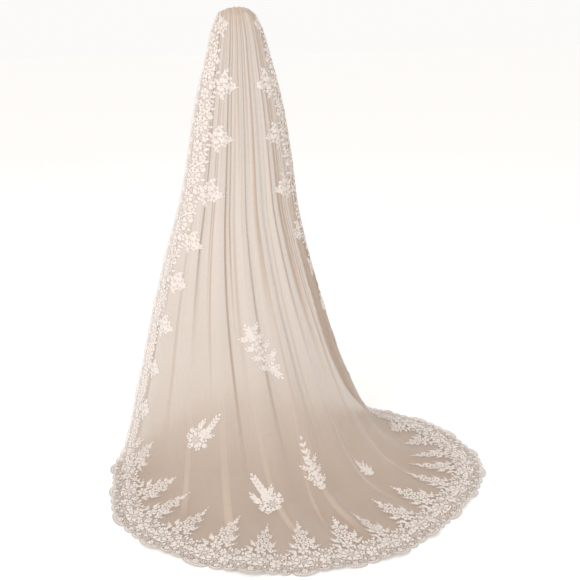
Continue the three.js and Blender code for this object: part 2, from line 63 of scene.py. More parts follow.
# along, half width, shift, edge y, back y, edge height, back height, squareness
SECTIONS = (
    (0.000, 46, 0, 0, 16, 1724, 1724, 2), (0.018, 68, 0, 22, 62, 1708, 1741, 2),
    (0.040, 95, 0, 36, 100, 1657, 1696, 2), (0.070, 116, 0, 44, 122, 1580, 1615, 2),
    (0.105, 139, 0, 46, 134, 1500, 1518, 2), (0.140, 162, 0, 46, 146, 1415, 1420, 2),
    (0.185, 185, 0, 46, 158, 1295, 1295, 2), (0.235, 208, 0, 38, 166, 1155, 1155, 2),
    (0.285, 232, 0, 12, 174, 1015, 1015, 2), (0.345, 272, -2, -26, 208, 855, 855, 2),
    (0.410, 317, -5, -46, 264, 685, 685, 2), (0.475, 362, -10, -56, 338, 520, 520, 2.05),
    (0.540, 402, -15, -60, 420, 365, 365, 2.1), (0.600, 447, -22, -62, 502, 225, 225, 2.2),
    (0.660, 492, -30, -62, 588, 105, 100, 2.3), (0.715, 536, -40, -60, 672, 34, 28, 2.4),
    (0.780, 590, -52, -62, 780, 6, 4, 2.45), (0.890, 672, -74, -70, 940, 0, 0, 2.55),
    (1.000, 800, -95, -86, 1140, 0, 0, 2.6),
)
# Main folds: place across, half width, then height at the crown, on the back, on the skirt and on the train
FOLD_LEVELS = (0.0, 0.16, 0.45, 0.85)
FOLDS = (
    (-0.80, 0.100, 1.0, 7, 13, 7), (-0.60, 0.100, 1.2, 8, 15, 8), (-0.41, 0.095, 1.2, 9, 17, 10),
    (-0.23, 0.090, 1.4, 9, 16, 10), (-0.06, 0.085, 1.4, 11, 22, 12), (0.12, 0.095, 1.4, 9, 15, 9),
    (0.34, 0.105, 1.2, 9, 18, 13), (0.56, 0.110, 1.0, 7, 13, 9), (0.78, 0.100, 0.8, 4, 9, 7),
)
# Where the scallops of the hem join, on the floor
HEM_JOINTS = (
    (545, 75), (590, 250), (630, 430), (590, 630), (490, 790), (350, 930), (190, 1010), (20, 1045),
    (-150, 1055), (-310, 1005), (-450, 935), (-590, 845), (-715, 735), (-795, 590), (-810, 420),
    (-775, 245), (-690, 100), (-622, 35),
)
SIDE_LEVELS = (0.0, 0.15, 0.3, 0.45, 0.56)
# Trim width down a front edge: share of the edge's length from the comb, and share of the hem's width
TRIM_SHARES = ((0.0, 0.09), (0.06, 0.5), (0.14, 0.8), (0.3, 0.96), (0.6, 0.96), (1.0, 0.86))
# How the hem's trim and sprays grow away from its corners: least share, then the repeats where the
# growth starts and ends
CORNER_TRIM = (0.86, 0.5, 2.5)
LEFT_SPRAYS = (0.72, 0.3, 2.0)
RIGHT_SPRAYS = (0.3, 0.5, 4.5)
# Loose sprays: tip across and along, foot across and along, size
LOOSE_SPRAYS = {
    "spray_back": (0.155, 0.447, -0.02, 0.522, 1.0),
    "spray_side": (0.36, 0.572, 0.52, 0.622, 0.8),
    "spray_train": (0.235, 0.655, 0.165, 0.725, 0.9),
    "spray_long": (-0.04, 0.612, -0.062, 0.705, 0.85),
    "spray_small": (-0.30, 0.672, -0.345, 0.715, 0.6),
}
# Where along the veil each change of its net starts and is full
NET_LEVELS = {
    "crown": (0.0, 0.09), "skirt": (0.2, 0.5), "painted_pleat_shade": (0.3, 0.62), "floor": (0.48, 0.72),
    "train": (0.5, 0.75),
}
# What each part of the net adds to its closeness, and to its light, the tone that it is painted. The
# darker lines along the pleats and the darkening on the floor are painted shade, and the lightening near
# the front edges is painted light
NET_TONES = {
    "whole": (0.0, 0.42), "gathers": (1.0, 0.0), "painted_pleat_shade": (0.0, -0.52), "crown": (0.5, 0.36),
    "creases": (0.4, 0.42), "skirt": (0.1, -0.28), "floor": (0.15, -0.18), "front": (-0.3, 0.6),
}


def smooth_step(value: np.ndarray, low: float, high: float) -> np.ndarray:
    """Rise smoothly from 0 at low to 1 at high."""
    share = np.clip((value - low) / (high - low), 0.0, 1.0)
    return share * share * (3.0 - 2.0 * share)


def grown(repeats: np.ndarray, least: float, start: float, end: float) -> np.ndarray:
    """Share of a full width at a number of repeats from a corner of the hem."""
    return least + (1 - least) * smooth_step(repeats, start, end)


def unit(vectors: np.ndarray) -> np.ndarray:
    """Scale vectors in the last axis to length 1."""
    return vectors / np.maximum(np.linalg.norm(vectors, axis=-1, keepdims=True), 1e-12)


class SmoothTable:
    """Columns of numbers with smooth, never overshooting values between their rows."""

    def __init__(self, levels: Sequence[float], rows: Sequence[Sequence[float]]) -> None:
        """Keep the rows and work out the slope of each column at each row.

        Args:
            levels: the level of each row, rising.
            rows: the columns' values at each level.
        """
        self.levels = np.asarray(levels, float)
        self.rows = np.asarray(rows, float)
        slope = np.diff(self.rows, axis=0) / np.diff(self.levels)[:, None]
        before, after = slope[:-1], slope[1:]
        same = before * after > 0
        total = np.where(same, before + after, 1.0)
        inner = np.where(same, 2 * before * after / total, 0.0)
        self.tangents = np.vstack([slope[:1], inner, slope[-1:]])

    def read(self, level: np.ndarray) -> np.ndarray:
        """Read every column at some levels.

        Args:
            level: the levels, any shape.

        Returns:
            The values, with the columns in a new last axis.
        """
        x = np.clip(np.asarray(level, float), self.levels[0], self.levels[-1])
        row = np.clip(np.searchsorted(self.levels, x, side="left") - 1, 0, len(self.levels) - 2)
        span = self.levels[row + 1] - self.levels[row]
        t = ((x - self.levels[row]) / span)[..., None]
        start, end = self.rows[row], self.rows[row + 1]
        a = self.tangents[row] * span[..., None]
        b = self.tangents[row + 1] * span[..., None]
        rise = end - start
        return start + t * (a + t * (3 * rise - 2 * a - b + t * (a + b - 2 * rise)))


@dataclass
class Pleats:
    """The fine pleats between the main folds, thin ridges that run down from the comb and die out."""

    count: int = 44
    deepest: float = 3.4
    steepest: float = 0.010
    outermost: float = 0.9
    seed: int = 11
    place_play: float = 0.022
    drift: float = 0.06
    half_widths: tuple[float, float] = (0.011, 0.030)
    depth_shares: tuple[float, float] = (0.15, 1.0)
    depth_power: float = 1.3
    ends: tuple[float, float] = (0.26, 0.80)
    ridge_power: float = 1.3
    fade: float = 0.22
    edge_calm: tuple[float, float] = (0.02, 0.16)
    table: np.ndarray = field(init=False)

    def __post_init__(self) -> None:
        """Lay out the ridges: place, drift, half width, share of the depth, and where each one ends."""
        rng = np.random.default_rng(self.seed)
        even = np.linspace(-self.outermost, self.outermost, self.count)
        self.table = np.column_stack([
            even + rng.uniform(-self.place_play, self.place_play, self.count),
            rng.uniform(-self.drift, self.drift, self.count),
            rng.uniform(*self.half_widths, self.count),
            rng.uniform(*self.depth_shares, self.count) ** self.depth_power,
            rng.uniform(*self.ends, self.count),
        ])

    def read(self, across: np.ndarray, along: np.ndarray, metre: np.ndarray
             ) -> tuple[np.ndarray, np.ndarray]:
        """Read the pleats at some places.

        Args:
            across: places across the veil.
            along: places down the veil.
            metre: the length of one unit across, in millimetres, at each place.

        Returns:
            The height in millimetres, and the closeness of the cloth from 0 to 1.
        """
        ridge = np.zeros_like(across)
        for place, drift, half, share, end in self.table:
            profile = bump(across - place - drift * along, half) ** self.ridge_power
            ridge += profile * share * (1 - smooth_step(along, end - self.fade, end))
        depth = np.minimum(self.deepest, self.steepest * metre)
        calm = smooth_step(1 - np.abs(across), *self.edge_calm)
        return ridge * depth * calm, np.clip(ridge, 0, 1) * calm


def bump(offset: np.ndarray, half: float) -> np.ndarray:
    """A smooth bump, 1 at offset 0 and 0 from a half width on."""
    share = np.abs(offset) / half
    return np.where(share < 1, 0.5 + 0.5 * np.cos(np.pi * np.minimum(share, 1)), 0.0)


class VeilForm:
    """The veil's surface, read by place.

    Across runs from -1 at the right edge to 1 at the left, and along from 0 at the comb down to 1.
    """

    SLOPE_STEP = 1e-3
    FLOOR_GAP = 0.3
    FLOOR_GRID = (121, 80)
    FLOOR_LEVELS = (0.6, 0.99)
    FLOOR_ROUNDS = 20
    FLOOR_PACE = 0.7
    LAST_LEVEL = 0.999

    def __init__(self) -> None:
        """Prepare the tables of sections, folds and pleats."""
        self.sections = SmoothTable([row[0] for row in SECTIONS], [row[1:] for row in SECTIONS])
        self.folds = [(at, half, SmoothTable(FOLD_LEVELS, [[height] for height in heights]))
                      for at, half, *heights in FOLDS]
        self.pleats = Pleats()

    def smooth(self, across: np.ndarray, along: np.ndarray) -> np.ndarray:
        """Points of the surface without folds, half a superellipse open to the front.

        Args:
            across: places across.
            along: places along.

        Returns:
            The points, in millimetres.
        """
        half, shift, edge_y, back_y, edge_z, back_z, square = np.moveaxis(self.sections.read(along), -1, 0)
        angle = across * math.pi / 2
        sine, cosine = np.sin(angle), np.cos(angle)
        radius = (np.abs(sine) ** square + np.abs(cosine) ** square) ** (-1 / square)
        return np.stack([
            shift + half * radius * sine,
            edge_y + (back_y - edge_y) * radius * cosine,
            FLOOR_Z + edge_z + (back_z - edge_z) * cosine,
        ], axis=-1)

    def slopes(self, across: np.ndarray, along: np.ndarray) -> tuple[np.ndarray, np.ndarray]:
        """Slopes of the smooth surface.

        Args:
            across: places across.
            along: places along.

        Returns:
            The slope across and the slope along, in millimetres.
        """
        step = self.SLOPE_STEP
        low, high = np.maximum(along - step, 0), np.minimum(along + step, 1)
        u = (self.smooth(across + step, along) - self.smooth(across - step, along)) / (2 * step)
        v = (self.smooth(across, high) - self.smooth(across, low)) / (high - low)[..., None]
        return u, v

    def height(self, across: np.ndarray, along: np.ndarray, metre: np.ndarray
               ) -> tuple[np.ndarray, np.ndarray]:
        """Height of folds and pleats over the smooth surface.

        Args:
            across: places across.
            along: places along.
            metre: the length of one unit across, in millimetres, at each place.

        Returns:
            The height in millimetres, and how close the cloth is gathered, from 0 to 1.
        """
        main = np.zeros_like(across)
        for at, half, heights in self.folds:
            main += heights.read(along)[..., 0] * bump(across - at, half)
        pleat, closeness = self.pleats.read(across, along, metre)
        return main + pleat, closeness

    def lay(self, across: np.ndarray, along: np.ndarray, lift: np.ndarray
            ) -> tuple[np.ndarray, np.ndarray]:
        """Lay places on the folded cloth.

        Args:
            across: places across.
            along: places along.
            lift: height over the inner face of the cloth, in millimetres.

        Returns:
            Points in metres, and the closeness of the cloth at each.
        """
        u, v = self.slopes(across, along)
        height, closeness = self.height(across, along, np.linalg.norm(u, axis=-1))
        normal = unit(np.cross(u, v))
        points = self.smooth(across, along) + normal * (height + lift)[..., None]
        points[..., 2] = np.maximum(points[..., 2], FLOOR_Z + self.FLOOR_GAP + 0.5 * lift)
        return points * MILLIMETRE, closeness

    def step(self, across: np.ndarray, along: np.ndarray, way: np.ndarray, distance: float
             ) -> tuple[np.ndarray, np.ndarray, np.ndarray]:
        """Walk a short distance over the smooth surface and turn the way with it.

        Args:
            across: places across.
            along: places along.
            way: the way to walk at each place, as a unit vector.
            distance: how far, in millimetres.

        Returns:
            The new places across and along, and the way at each.
        """
        u, v = self.slopes(across, along)
        e, f, g = (u * u).sum(-1), (u * v).sum(-1), (v * v).sum(-1)
        a, b = (u * way).sum(-1), (v * way).sum(-1)
        det = e * g - f * f
        du, dv = (g * a - f * b) / det, (e * b - f * a) / det
        length = np.sqrt(e * du * du + 2 * f * du * dv + g * dv * dv)
        across = across + du * distance / length
        along = np.maximum(along + dv * distance / length, 0)
        u, v = self.slopes(across, along)
        normal = unit(np.cross(u, v))
        return across, along, unit(way - normal * (way * normal).sum(-1, keepdims=True))

    def on_floor(self, spots: np.ndarray) -> np.ndarray:
        """Find places of the cloth from points on the floor.

        Args:
            spots: x and y of each point.

        Returns:
            Across and along of each.
        """
        across, along = np.meshgrid(np.linspace(-1, 1, self.FLOOR_GRID[0]),
                                    np.linspace(*self.FLOOR_LEVELS, self.FLOOR_GRID[1]), indexing="ij")
        grid = self.smooth(across, along)[..., :2].reshape(-1, 2)
        nearest = ((grid[None] - spots[:, None]) ** 2).sum(-1).argmin(1)
        across, along = across.reshape(-1)[nearest], along.reshape(-1)[nearest]
        for _ in range(self.FLOOR_ROUNDS):
            here = self.smooth(across, along)
            u, v = self.slopes(across, along)
            det = u[:, 0] * v[:, 1] - u[:, 1] * v[:, 0]
            dx, dy = (spots - here[:, :2]).T
            across = across + self.FLOOR_PACE * (dx * v[:, 1] - dy * v[:, 0]) / det
            along = along + self.FLOOR_PACE * (dy * u[:, 0] - dx * u[:, 1]) / det
            along = np.minimum(along, self.LAST_LEVEL)
        return np.column_stack([across, along])


class ClothMap:
    """Places on the cloth beside a line, by sample of the line and by distance square to it."""

    # How far short of the last sample a reading stays
    MARGIN = 1.001

    def __init__(self, form: VeilForm, line: np.ndarray, way: np.ndarray, reach: tuple[float, float],
                 step: float) -> None:
        """Walk out from the line to both sides.

        Args:
            form: the surface.
            line: across and along at each sample of the line.
            way: the way out at each sample, as a unit vector.
            reach: the least and the greatest distance, in millimetres.
            step: the distance between two columns.
        """
        self.low, self.step = reach[0], step
        columns = int(round((reach[1] - reach[0]) / step)) + 1
        zero = int(round(-reach[0] / step))
        self.table = np.zeros((len(line), columns, 2))
        self.table[:, zero] = line
        for sign, order in ((1, range(zero + 1, columns)), (-1, range(zero - 1, -1, -1))):
            across, along, turn = line[:, 0], line[:, 1], way
            for column in order:
                across, along, turn = form.step(across, along, turn, sign * step)
                self.table[:, column] = np.column_stack([across, along])

    def read(self, sample: np.ndarray, distance: np.ndarray) -> tuple[np.ndarray, np.ndarray]:
        """Read the map between its samples.

        Args:
            sample: places on the line, counted in samples.
            distance: millimetres square to it.

        Returns:
            Across and along on the cloth.
        """
        rows, columns = self.table.shape[:2]
        y = np.clip(sample, 0, rows - self.MARGIN)
        x = np.clip((distance - self.low) / self.step, 0, columns - self.MARGIN)
        i, j = y.astype(int), x.astype(int)
        s, t = (y - i)[..., None], (x - j)[..., None]
        near = self.table[i, j] * (1 - s) + self.table[i + 1, j] * s
        far = self.table[i, j + 1] * (1 - s) + self.table[i + 1, j + 1] * s
        spot = near * (1 - t) + far * t
        return spot[..., 0], spot[..., 1]


class Edge(Enum):
    """A length of lace trim, by where it runs."""

    LEFT = "left_edge"
    HEM = "hem"
    RIGHT = "right_edge"


class Border:
    """The line that the lace follows: down the left edge, round the hem, up the right edge."""

    DEPTHS = (-30.0, 306.0)
    DEPTH_STEP = 6.0
    SAMPLES = 1500
    LENGTH_SAMPLES = 400
    TURN_SPAN = 0.4
    # Along, where the way inwards stops being level and where it is square to the line
    LEVEL_ENDS = (0.03, 0.2)

    def __init__(self, form: VeilForm) -> None:
        """Trace the line and a map of the cloth inwards from it.

        Args:
            form: the surface that it lies on.
        """
        self.form = form
        joints = form.on_floor(np.asarray(HEM_JOINTS, float))
        left = np.array([(1.0, level) for level in SIDE_LEVELS])
        right = np.array([(-1.0, level) for level in reversed(SIDE_LEVELS)])
        self.points = np.vstack([left, joints, right])
        self.spans = len(self.points) - 1
        self.start = len(SIDE_LEVELS)
        self.end = self.start + len(HEM_JOINTS) - 1
        self.places = np.linspace(0, self.spans, self.SAMPLES)
        self.map = ClothMap(form, self.at(self.places), self._inward(), self.DEPTHS, self.DEPTH_STEP)
        self.left = self._lengths(0, self.start)
        self.right = self._lengths(self.spans, self.end)
        self.trims = SmoothTable([row[0] for row in TRIM_SHARES], [row[1:] for row in TRIM_SHARES])

    def at(self, place: np.ndarray) -> np.ndarray:
        """Read the line, a centripetal spline through its points.

        Args:
            place: places on it, counted in points.

        Returns:
            Across and along, in a new last axis.
        """
        whole = np.clip(place, 0, self.spans)
        i = np.minimum(whole.astype(int), self.spans - 1)
        t = (whole - i)[..., None]
        first, last = 2 * self.points[:1] - self.points[1:2], 2 * self.points[-1:] - self.points[-2:-1]
        p = np.vstack([first, self.points, last])
        p0, p1, p2, p3 = p[i], p[i + 1], p[i + 2], p[i + 3]
        gap = [np.maximum(((b - a) ** 2).sum(-1) ** 0.25, 1e-4)[..., None]
               for a, b in ((p0, p1), (p1, p2), (p2, p3))]
        t1 = ((p1 - p0) / gap[0] - (p2 - p0) / (gap[0] + gap[1]) + (p2 - p1) / gap[1]) * gap[1]
        t2 = ((p2 - p1) / gap[1] - (p3 - p1) / (gap[1] + gap[2]) + (p3 - p2) / gap[2]) * gap[1]
        spot = p1 + t * (t1 + t * (-3 * p1 + 3 * p2 - 2 * t1 - t2 + t * (2 * p1 - 2 * p2 + t1 + t2)))
        return np.stack([np.clip(spot[..., 0], -1, 1), np.maximum(spot[..., 1], 0)], axis=-1)

    def _inward(self) -> np.ndarray:
        """Work out the way inwards, level near the comb and square to the line elsewhere.

        Returns:
            A unit vector for each sample of the line.
        """
        here = self.at(self.places)
        turn = self.at(self.places + self.TURN_SPAN) - self.at(self.places - self.TURN_SPAN)
        u, v = self.form.slopes(here[:, 0], here[:, 1])
        tangent = u * turn[:, :1] + v * turn[:, 1:]
        square = unit(np.cross(unit(np.cross(u, v)), tangent))
        level = unit(-u * np.sign(here[:, :1]))
        share = smooth_step(here[:, 1:], *self.LEVEL_ENDS)
        return unit(level * (1 - share) + square * share)

    def _lengths(self, first: float, last: float) -> tuple[np.ndarray, np.ndarray]:
        """Measure the cloth down a side.

        Args:
            first: place on the line where the side starts, at the comb.
            last: place where it ends.

        Returns:
            Places along the side, and the length of cloth down to each, in millimetres.
        """
        places = np.linspace(first, last, self.LENGTH_SAMPLES)
        spots = self.at(places)
        steps = np.linalg.norm(np.diff(self.form.smooth(spots[:, 0], spots[:, 1]), axis=0), axis=-1)
        return places, np.concatenate([[0.0], np.cumsum(steps)])

    def locate(self, place: np.ndarray, depth: np.ndarray) -> tuple[np.ndarray, np.ndarray]:
        """Across and along at a place of the line and a depth inwards in millimetres."""
        return self.map.read(place / self.spans * (self.SAMPLES - 1), depth)

    def side(self, edge: Edge, share: np.ndarray) -> tuple[np.ndarray, np.ndarray]:
        """Find a spot on a front edge.

        Args:
            edge: which one.
            share: share of its length from the comb.

        Returns:
            The place on the line, and the trim's share of its full width.
        """
        places, lengths = self.left if edge is Edge.LEFT else self.right
        shares = lengths / lengths[-1]
        return np.interp(share, shares, places), self.trims.read(share)[..., 0]

    def hem(self, repeats: np.ndarray) -> tuple[np.ndarray, np.ndarray, np.ndarray]:
        """Find a spot on the hem.

        Args:
            repeats: number of repeats from the left front corner.

        Returns:
            The place on the line, and the shares of the full width of trim and sprays.
        """
        left, right = repeats, self.end - self.start - repeats
        trim = grown(np.minimum(left, right), *CORNER_TRIM)
        sprays = np.minimum(grown(left, *LEFT_SPRAYS), grown(right, *RIGHT_SPRAYS))
        return self.start + repeats, trim, sprays


@dataclass
class Lobe:
    """One scallop of the outer edge: its middle, half its width, and how far it stands out."""

    middle: float
    half: float
    out: float


class Stitch(Enum):
    """A kind of stitching, by where it starts in v of the UV map."""

    CORD = 0
    SATIN = 2
    RIM = 4


@dataclass
class LaceChart:
    """Flat lace drawn with cords, satin leaves and flowers, x along the edge and y inwards.

    Sizes are in millimetres, and height is z, over the cloth. In the UV map u runs along a thread in
    millimetres, and v crosses it, counted from the number of its stitch.
    """

    cord_height: float = 1.1
    cord_drop: float = 0.75
    stem_width: float = 2.2
    satin_height: float = 0.65
    satin_hollow: float = 0.25
    leaf_steps: int = 5
    leaf_power: float = 0.8
    broad_leaf: float = 10.5
    leaf_cord: float = 1.5
    leaf_cord_share: float = 0.13
    leaf_cord_lift: float = 0.1
    knot_corners: int = 8
    knot_height: float = 1.2
    knot_lift: float = 0.9
    knot_top: float = 0.55
    # Petals as shares of the flower's radius: where they start, length, width, and where they are widest
    petal: tuple[float, ...] = (0.27, 0.76, 0.56, 0.62)
    flower_heart: float = 0.15
    # The same of a rose's petals, then their bend
    rose_petal: tuple[float, ...] = (0.56, 0.48, 0.56, 0.64, 0.12)
    rose_petals: int = 8
    rose_heart: float = 0.5
    rose_ribs: tuple[float, ...] = (-0.4, -0.24, -0.08, 0.08, 0.24, 0.4)
    rib_width: float = 1.7
    # Square of the ribbed heart's radius
    rib_circle: float = 0.23
    rose_flower: float = 0.24
    # Pairs of leaves on a sprig: where the first one is, length over which the stem's way is measured,
    # width against length, and bend
    first_pair: float = 0.35
    stem_reach: float = 4.0
    sprig_leaf: float = 0.46
    sprig_bend: float = 0.08
    rim_inset: float = 1.7
    rim_width: float = 3.6
    inner_inset: float = 8.4
    inner_width: float = 1.9
    bar_width: float = 1.5
    eyelet_cord: float = 1.4
    bm: bmesh.types.BMesh = field(default_factory=bmesh.new)

    def __post_init__(self) -> None:
        """Give the drawing its UV map."""
        self.uv = self.bm.loops.layers.uv.new(UV_NAME)

    def _grid(self, columns: int, rows: int, shape: Callable[[float, float], tuple[float, float, float]],
              length: float, stitch: Stitch) -> None:
        """Add a strip of cloth or cord.

        Args:
            columns: faces along it.
            rows: faces across it.
            shape: point for a share along, 0 to 1, and a side, -1 to 1.
            length: its length, for the UV map.
            stitch: its kind.
        """
        made = bmesh.ops.create_grid(self.bm, x_segments=columns, y_segments=rows, size=1.0)["verts"]
        shares = {v: (v.co.x * 0.5 + 0.5, v.co.y) for v in made}
        for face in {f for v in made for f in v.link_faces}:
            for loop in face.loops:
                t, side = shares[loop.vert]
                loop[self.uv].uv = (t * length, 0.5 + 0.5 * side + stitch.value)
        for v, (t, side) in shares.items():
            v.co = shape(t, side)

    def cord(self, path: Sequence[Point], width: float, steps: int | None = None, taper: float = 0.0,
             lift: float = 0.0, stitch: Stitch = Stitch.CORD) -> None:
        """Add a raised cord along a path.

        Args:
            path: points that the cord follows.
            width: its width.
            steps: faces along it, or None to keep the path's own.
            taper: how much narrower it gets at its ends, 0 to 1.
            lift: height over the drawing's base.
            stitch: its kind.
        """
        points = np.asarray(path, float)
        gaps = np.linalg.norm(np.diff(points, axis=0), axis=1)
        runs = np.concatenate([[0.0], np.cumsum(gaps)])
        count = steps or len(points) - 1
        where = np.linspace(0, runs[-1], count + 1)
        line = np.column_stack([np.interp(where, runs, points[:, k]) for k in (0, 1)])
        closed = np.linalg.norm(line[0] - line[-1]) < 1e-6
        first, last = (line[-2], line[1]) if closed else (2 * line[0] - line[1], 2 * line[-1] - line[-2])
        ring = np.vstack([first, line, last])
        tangent = unit(ring[2:] - ring[:-2])
        normal = np.column_stack([-tangent[:, 1], tangent[:, 0]])

        def shape(t: float, side: float) -> tuple[float, float, float]:
            """Place a point of the cord.

            Args:
                t: share of its length.
                side: -1 at one side to 1 at the other.

            Returns:
                The point.
            """
            k = int(round(t * count))
            half = 0.5 * width * (1 - taper * (2 * t - 1) ** 4)
            x, y = line[k] + normal[k] * half * side
            return x, y, lift + self.cord_height * (1 - self.cord_drop * side * side)

        self._grid(count, 2, shape, runs[-1], stitch)

    def leaf(self, base: Point, turn: float, length: float, width: float, bend: float = 0.0,
             corded: bool = True, blunt: float = 0.5) -> None:
        """Add a satin leaf or petal.

        Args:
            base: where it starts.
            turn: the way that it points, in degrees from x.
            length: its length.
            width: its greatest width.
            bend: how far its tip curves aside, as a share of its length.
            corded: whether a cord runs round it.
            blunt: share of the length where it is widest.
        """
        way = np.array([math.cos(math.radians(turn)), math.sin(math.radians(turn))])
        aside = np.array([-way[1], way[0]])
        power = math.log(0.5) / math.log(blunt)

        def spot(t: float, side: float) -> np.ndarray:
            """A point of the leaf at a share of its length, to one side."""
            half = 0.5 * width * max(math.sin(math.pi * t ** power), 0.0) ** self.leaf_power
            return np.asarray(base) + way * length * t + aside * (half * side + bend * length * t * t)

        def shape(t: float, side: float) -> tuple[float, float, float]:
            """Place a point of the satin, a little hollow at its middle vein."""
            x, y = spot(t, side)
            return x, y, self.satin_height * (1 - self.satin_hollow + self.satin_hollow * abs(side))

        self._grid(self.leaf_steps, 4 if width > self.broad_leaf else 2, shape, length, Stitch.SATIN)
        if corded:
            shares = [k / 6 for k in range(7)]
            ring = [spot(t, 1) for t in shares] + [spot(t, -1) for t in reversed(shares[:-1])]
            self.cord(ring, max(self.leaf_cord, self.leaf_cord_share * width), lift=self.leaf_cord_lift)

    def leaves(self, rows: Iterable[tuple[float, float, float, float]]) -> None:
        """Add corded leaves, from rows of x, y, turn and size."""
        for x, y, turn, size in rows:
            self.leaf((x, y), turn, size * 1.15, size * 0.48, bend=0.1)

    def ring(self, middle: Point, radius: float, width: float, steps: int = 10) -> None:
        """Add a corded ring, such as an eyelet or a flower's heart.

        Args:
            middle: its middle.
            radius: its radius to the middle of the cord.
            width: the cord's width.
            steps: faces round it.
        """
        turns = [360 * k / steps for k in range(steps + 1)]
        self.cord([polar(middle, radius, turn) for turn in turns], width)

    def knot(self, middle: Point, radius: float) -> None:
        """Add a small padded knot, the heart of a flower.

        Args:
            middle: its middle.
            radius: its radius at the foot.
        """
        made = bmesh.ops.create_cone(self.bm, cap_ends=True, segments=self.knot_corners, radius1=radius,
                                     radius2=radius * self.knot_top, depth=self.knot_height)["verts"]
        bmesh.ops.translate(self.bm, verts=made, vec=(*middle, self.knot_lift))
        for face in {f for v in made for f in v.link_faces}:
            for loop in face.loops:
                loop[self.uv].uv = (loop.vert.co.x, 0.5)

    def flower(self, middle: Point, radius: float, petals: int = 5, turn: float = 0.0,
               corded: bool = True) -> None:
        """Add an open flower of round petals with a knot at its heart.

        Args:
            middle: its middle.
            radius: reach of its petals.
            petals: how many.
            turn: the way that the first petal points, in degrees from x.
            corded: whether cords run round the petals.
        """
        start, length, width, blunt = self.petal
        for k in range(petals):
            angle = turn + 360 * k / petals
            wide = 2 * math.pi * radius * width / petals
            base = polar(middle, start * radius, angle)
            self.leaf(base, angle, radius * length, wide, corded=corded, blunt=blunt)
        self.knot(middle, radius * self.flower_heart)

    def flowers(self, rows: Iterable[tuple[float, float, float, float]]) -> None:
        """Add open flowers, from rows of x, y, radius and turn."""
        for x, y, radius, turn in rows:
            self.flower((x, y), radius, turn=turn)

    def full_flower(self, middle: Point, radius: float, turn: float, heart: float, cord: float) -> None:
        """Add a flower of six petals with a corded ring round its heart.

        Args:
            middle: its middle.
            radius: reach of its petals.
            turn: the way that the first petal points, in degrees from x.
            heart: radius of the ring.
            cord: width of the ring's cord.
        """
        self.flower(middle, radius, petals=6, turn=turn)
        self.ring(middle, heart, cord)

    def rose(self, middle: Point, radius: float, turn: float = 0.0) -> None:
        """Add a large open rose: outer petals, a round heart of ribbed net, and a small flower on it.

        Args:
            middle: its middle.
            radius: reach of its petals.
            turn: the way that the first petal points, in degrees from x.
        """
        x, y = middle
        start, length, width, blunt, bend = self.rose_petal
        for k in range(self.rose_petals):
            angle = turn + 360 * k / self.rose_petals
            base = polar(middle, start * radius, angle)
            self.leaf(base, angle, radius * length, radius * width, bend=bend, blunt=blunt)
        self.ring(middle, radius * self.rose_heart, self.stem_width, steps=18)
        for rib in self.rose_ribs:
            half = radius * math.sqrt(self.rib_circle - rib * rib)
            self.cord([(x + rib * radius, y - half), (x + rib * radius, y + half)], self.rib_width, steps=5)
        self.flower(middle, radius * self.rose_flower, turn=turn, corded=False)

    def stem(self, points: Sequence[Point]) -> None:
        """Add a curved, tapered stem through a few points.

        Args:
            points: the points, from one end to the other.
        """
        p = np.asarray(points, float)
        ring = np.vstack([2 * p[0] - p[1], p, 2 * p[-1] - p[-2]])
        line = []
        for k in range(len(p) - 1):
            a, b, c, d = ring[k:k + 4]
            for t in np.linspace(0, 1, 8, endpoint=k == len(p) - 2):
                line.append(0.5 * (2 * b + (c - a) * t + (2 * a - 5 * b + 4 * c - d) * t * t
                                   + (3 * b - a - 3 * c + d) * t ** 3))
        self.cord(line, self.stem_width, steps=14, taper=0.5)

    def sprig(self, points: Sequence[Point], pairs: int, leaf: float, shrink: float = 0.45,
              spread: float = 38) -> None:
        """Add a straight or bent stem with pairs of leaves and one at its tip.

        Args:
            points: the stem, from its foot to its tip.
            pairs: pairs of leaves.
            leaf: length of the lowest leaves.
            shrink: size of the tip's leaf against them.
            spread: angle between leaf and stem, in degrees.
        """
        self.stem(points)
        p = np.asarray(points, float)
        runs = np.concatenate([[0.0], np.cumsum(np.linalg.norm(np.diff(p, axis=0), axis=1))])
        for k in range(pairs + 1):
            share = (k + self.first_pair) / (pairs + self.first_pair)
            run = share * runs[-1]
            near = np.clip([run - self.stem_reach, run, run + self.stem_reach], 0, runs[-1])
            before, here, after = np.column_stack([np.interp(near, runs, p[:, axis]) for axis in (0, 1)])
            turn = math.degrees(math.atan2(after[1] - before[1], after[0] - before[0]))
            size = leaf * (1 - (1 - shrink) * share)
            turns = (turn,) if k == pairs else (turn + spread, turn - spread)
            for way in turns:
                bend = self.sprig_bend * np.sign(turn - way)
                self.leaf(here, way, size, size * self.sprig_leaf, bend=bend, corded=False)

    def edge_line(self, lobes: Sequence[Lobe], inset: float, per_lobe: int = 22) -> list[Point]:
        """Draw the scalloped edge, moved in square to itself.

        Args:
            lobes: the scallops of a repeat.
            inset: how far in.
            per_lobe: points for each scallop.

        Returns:
            Its points.
        """
        line = []
        for lobe in lobes:
            for k in range(per_lobe):
                t = -1 + 2 * k / per_lobe
                line.append((lobe.middle + lobe.half * t, -scallop(lobe, t)))
        last = lobes[-1]
        line.append((last.middle + last.half, 0.0))
        p = np.asarray(line)
        ring = np.vstack([p[0], p, p[-1]])
        tangent = unit(ring[2:] - ring[:-2])
        return [(x - ty * inset, y + tx * inset) for (x, y), (tx, ty) in zip(p, tangent)]

    def rim(self, lobes: Sequence[Lobe]) -> None:
        """Add the bound outer edge: a thick cord, a thin one inside it, and a ladder of bars between.

        Args:
            lobes: the scallops of a repeat.
        """
        outer = self.edge_line(lobes, self.rim_inset)
        inner = self.edge_line(lobes, self.inner_inset)
        self.cord(outer, self.rim_width, lift=0.2, stitch=Stitch.RIM)
        self.cord(inner, self.inner_width)
        for a, b in zip(outer[1::2], inner[1::2]):
            self.cord([a, b], self.bar_width, steps=1)

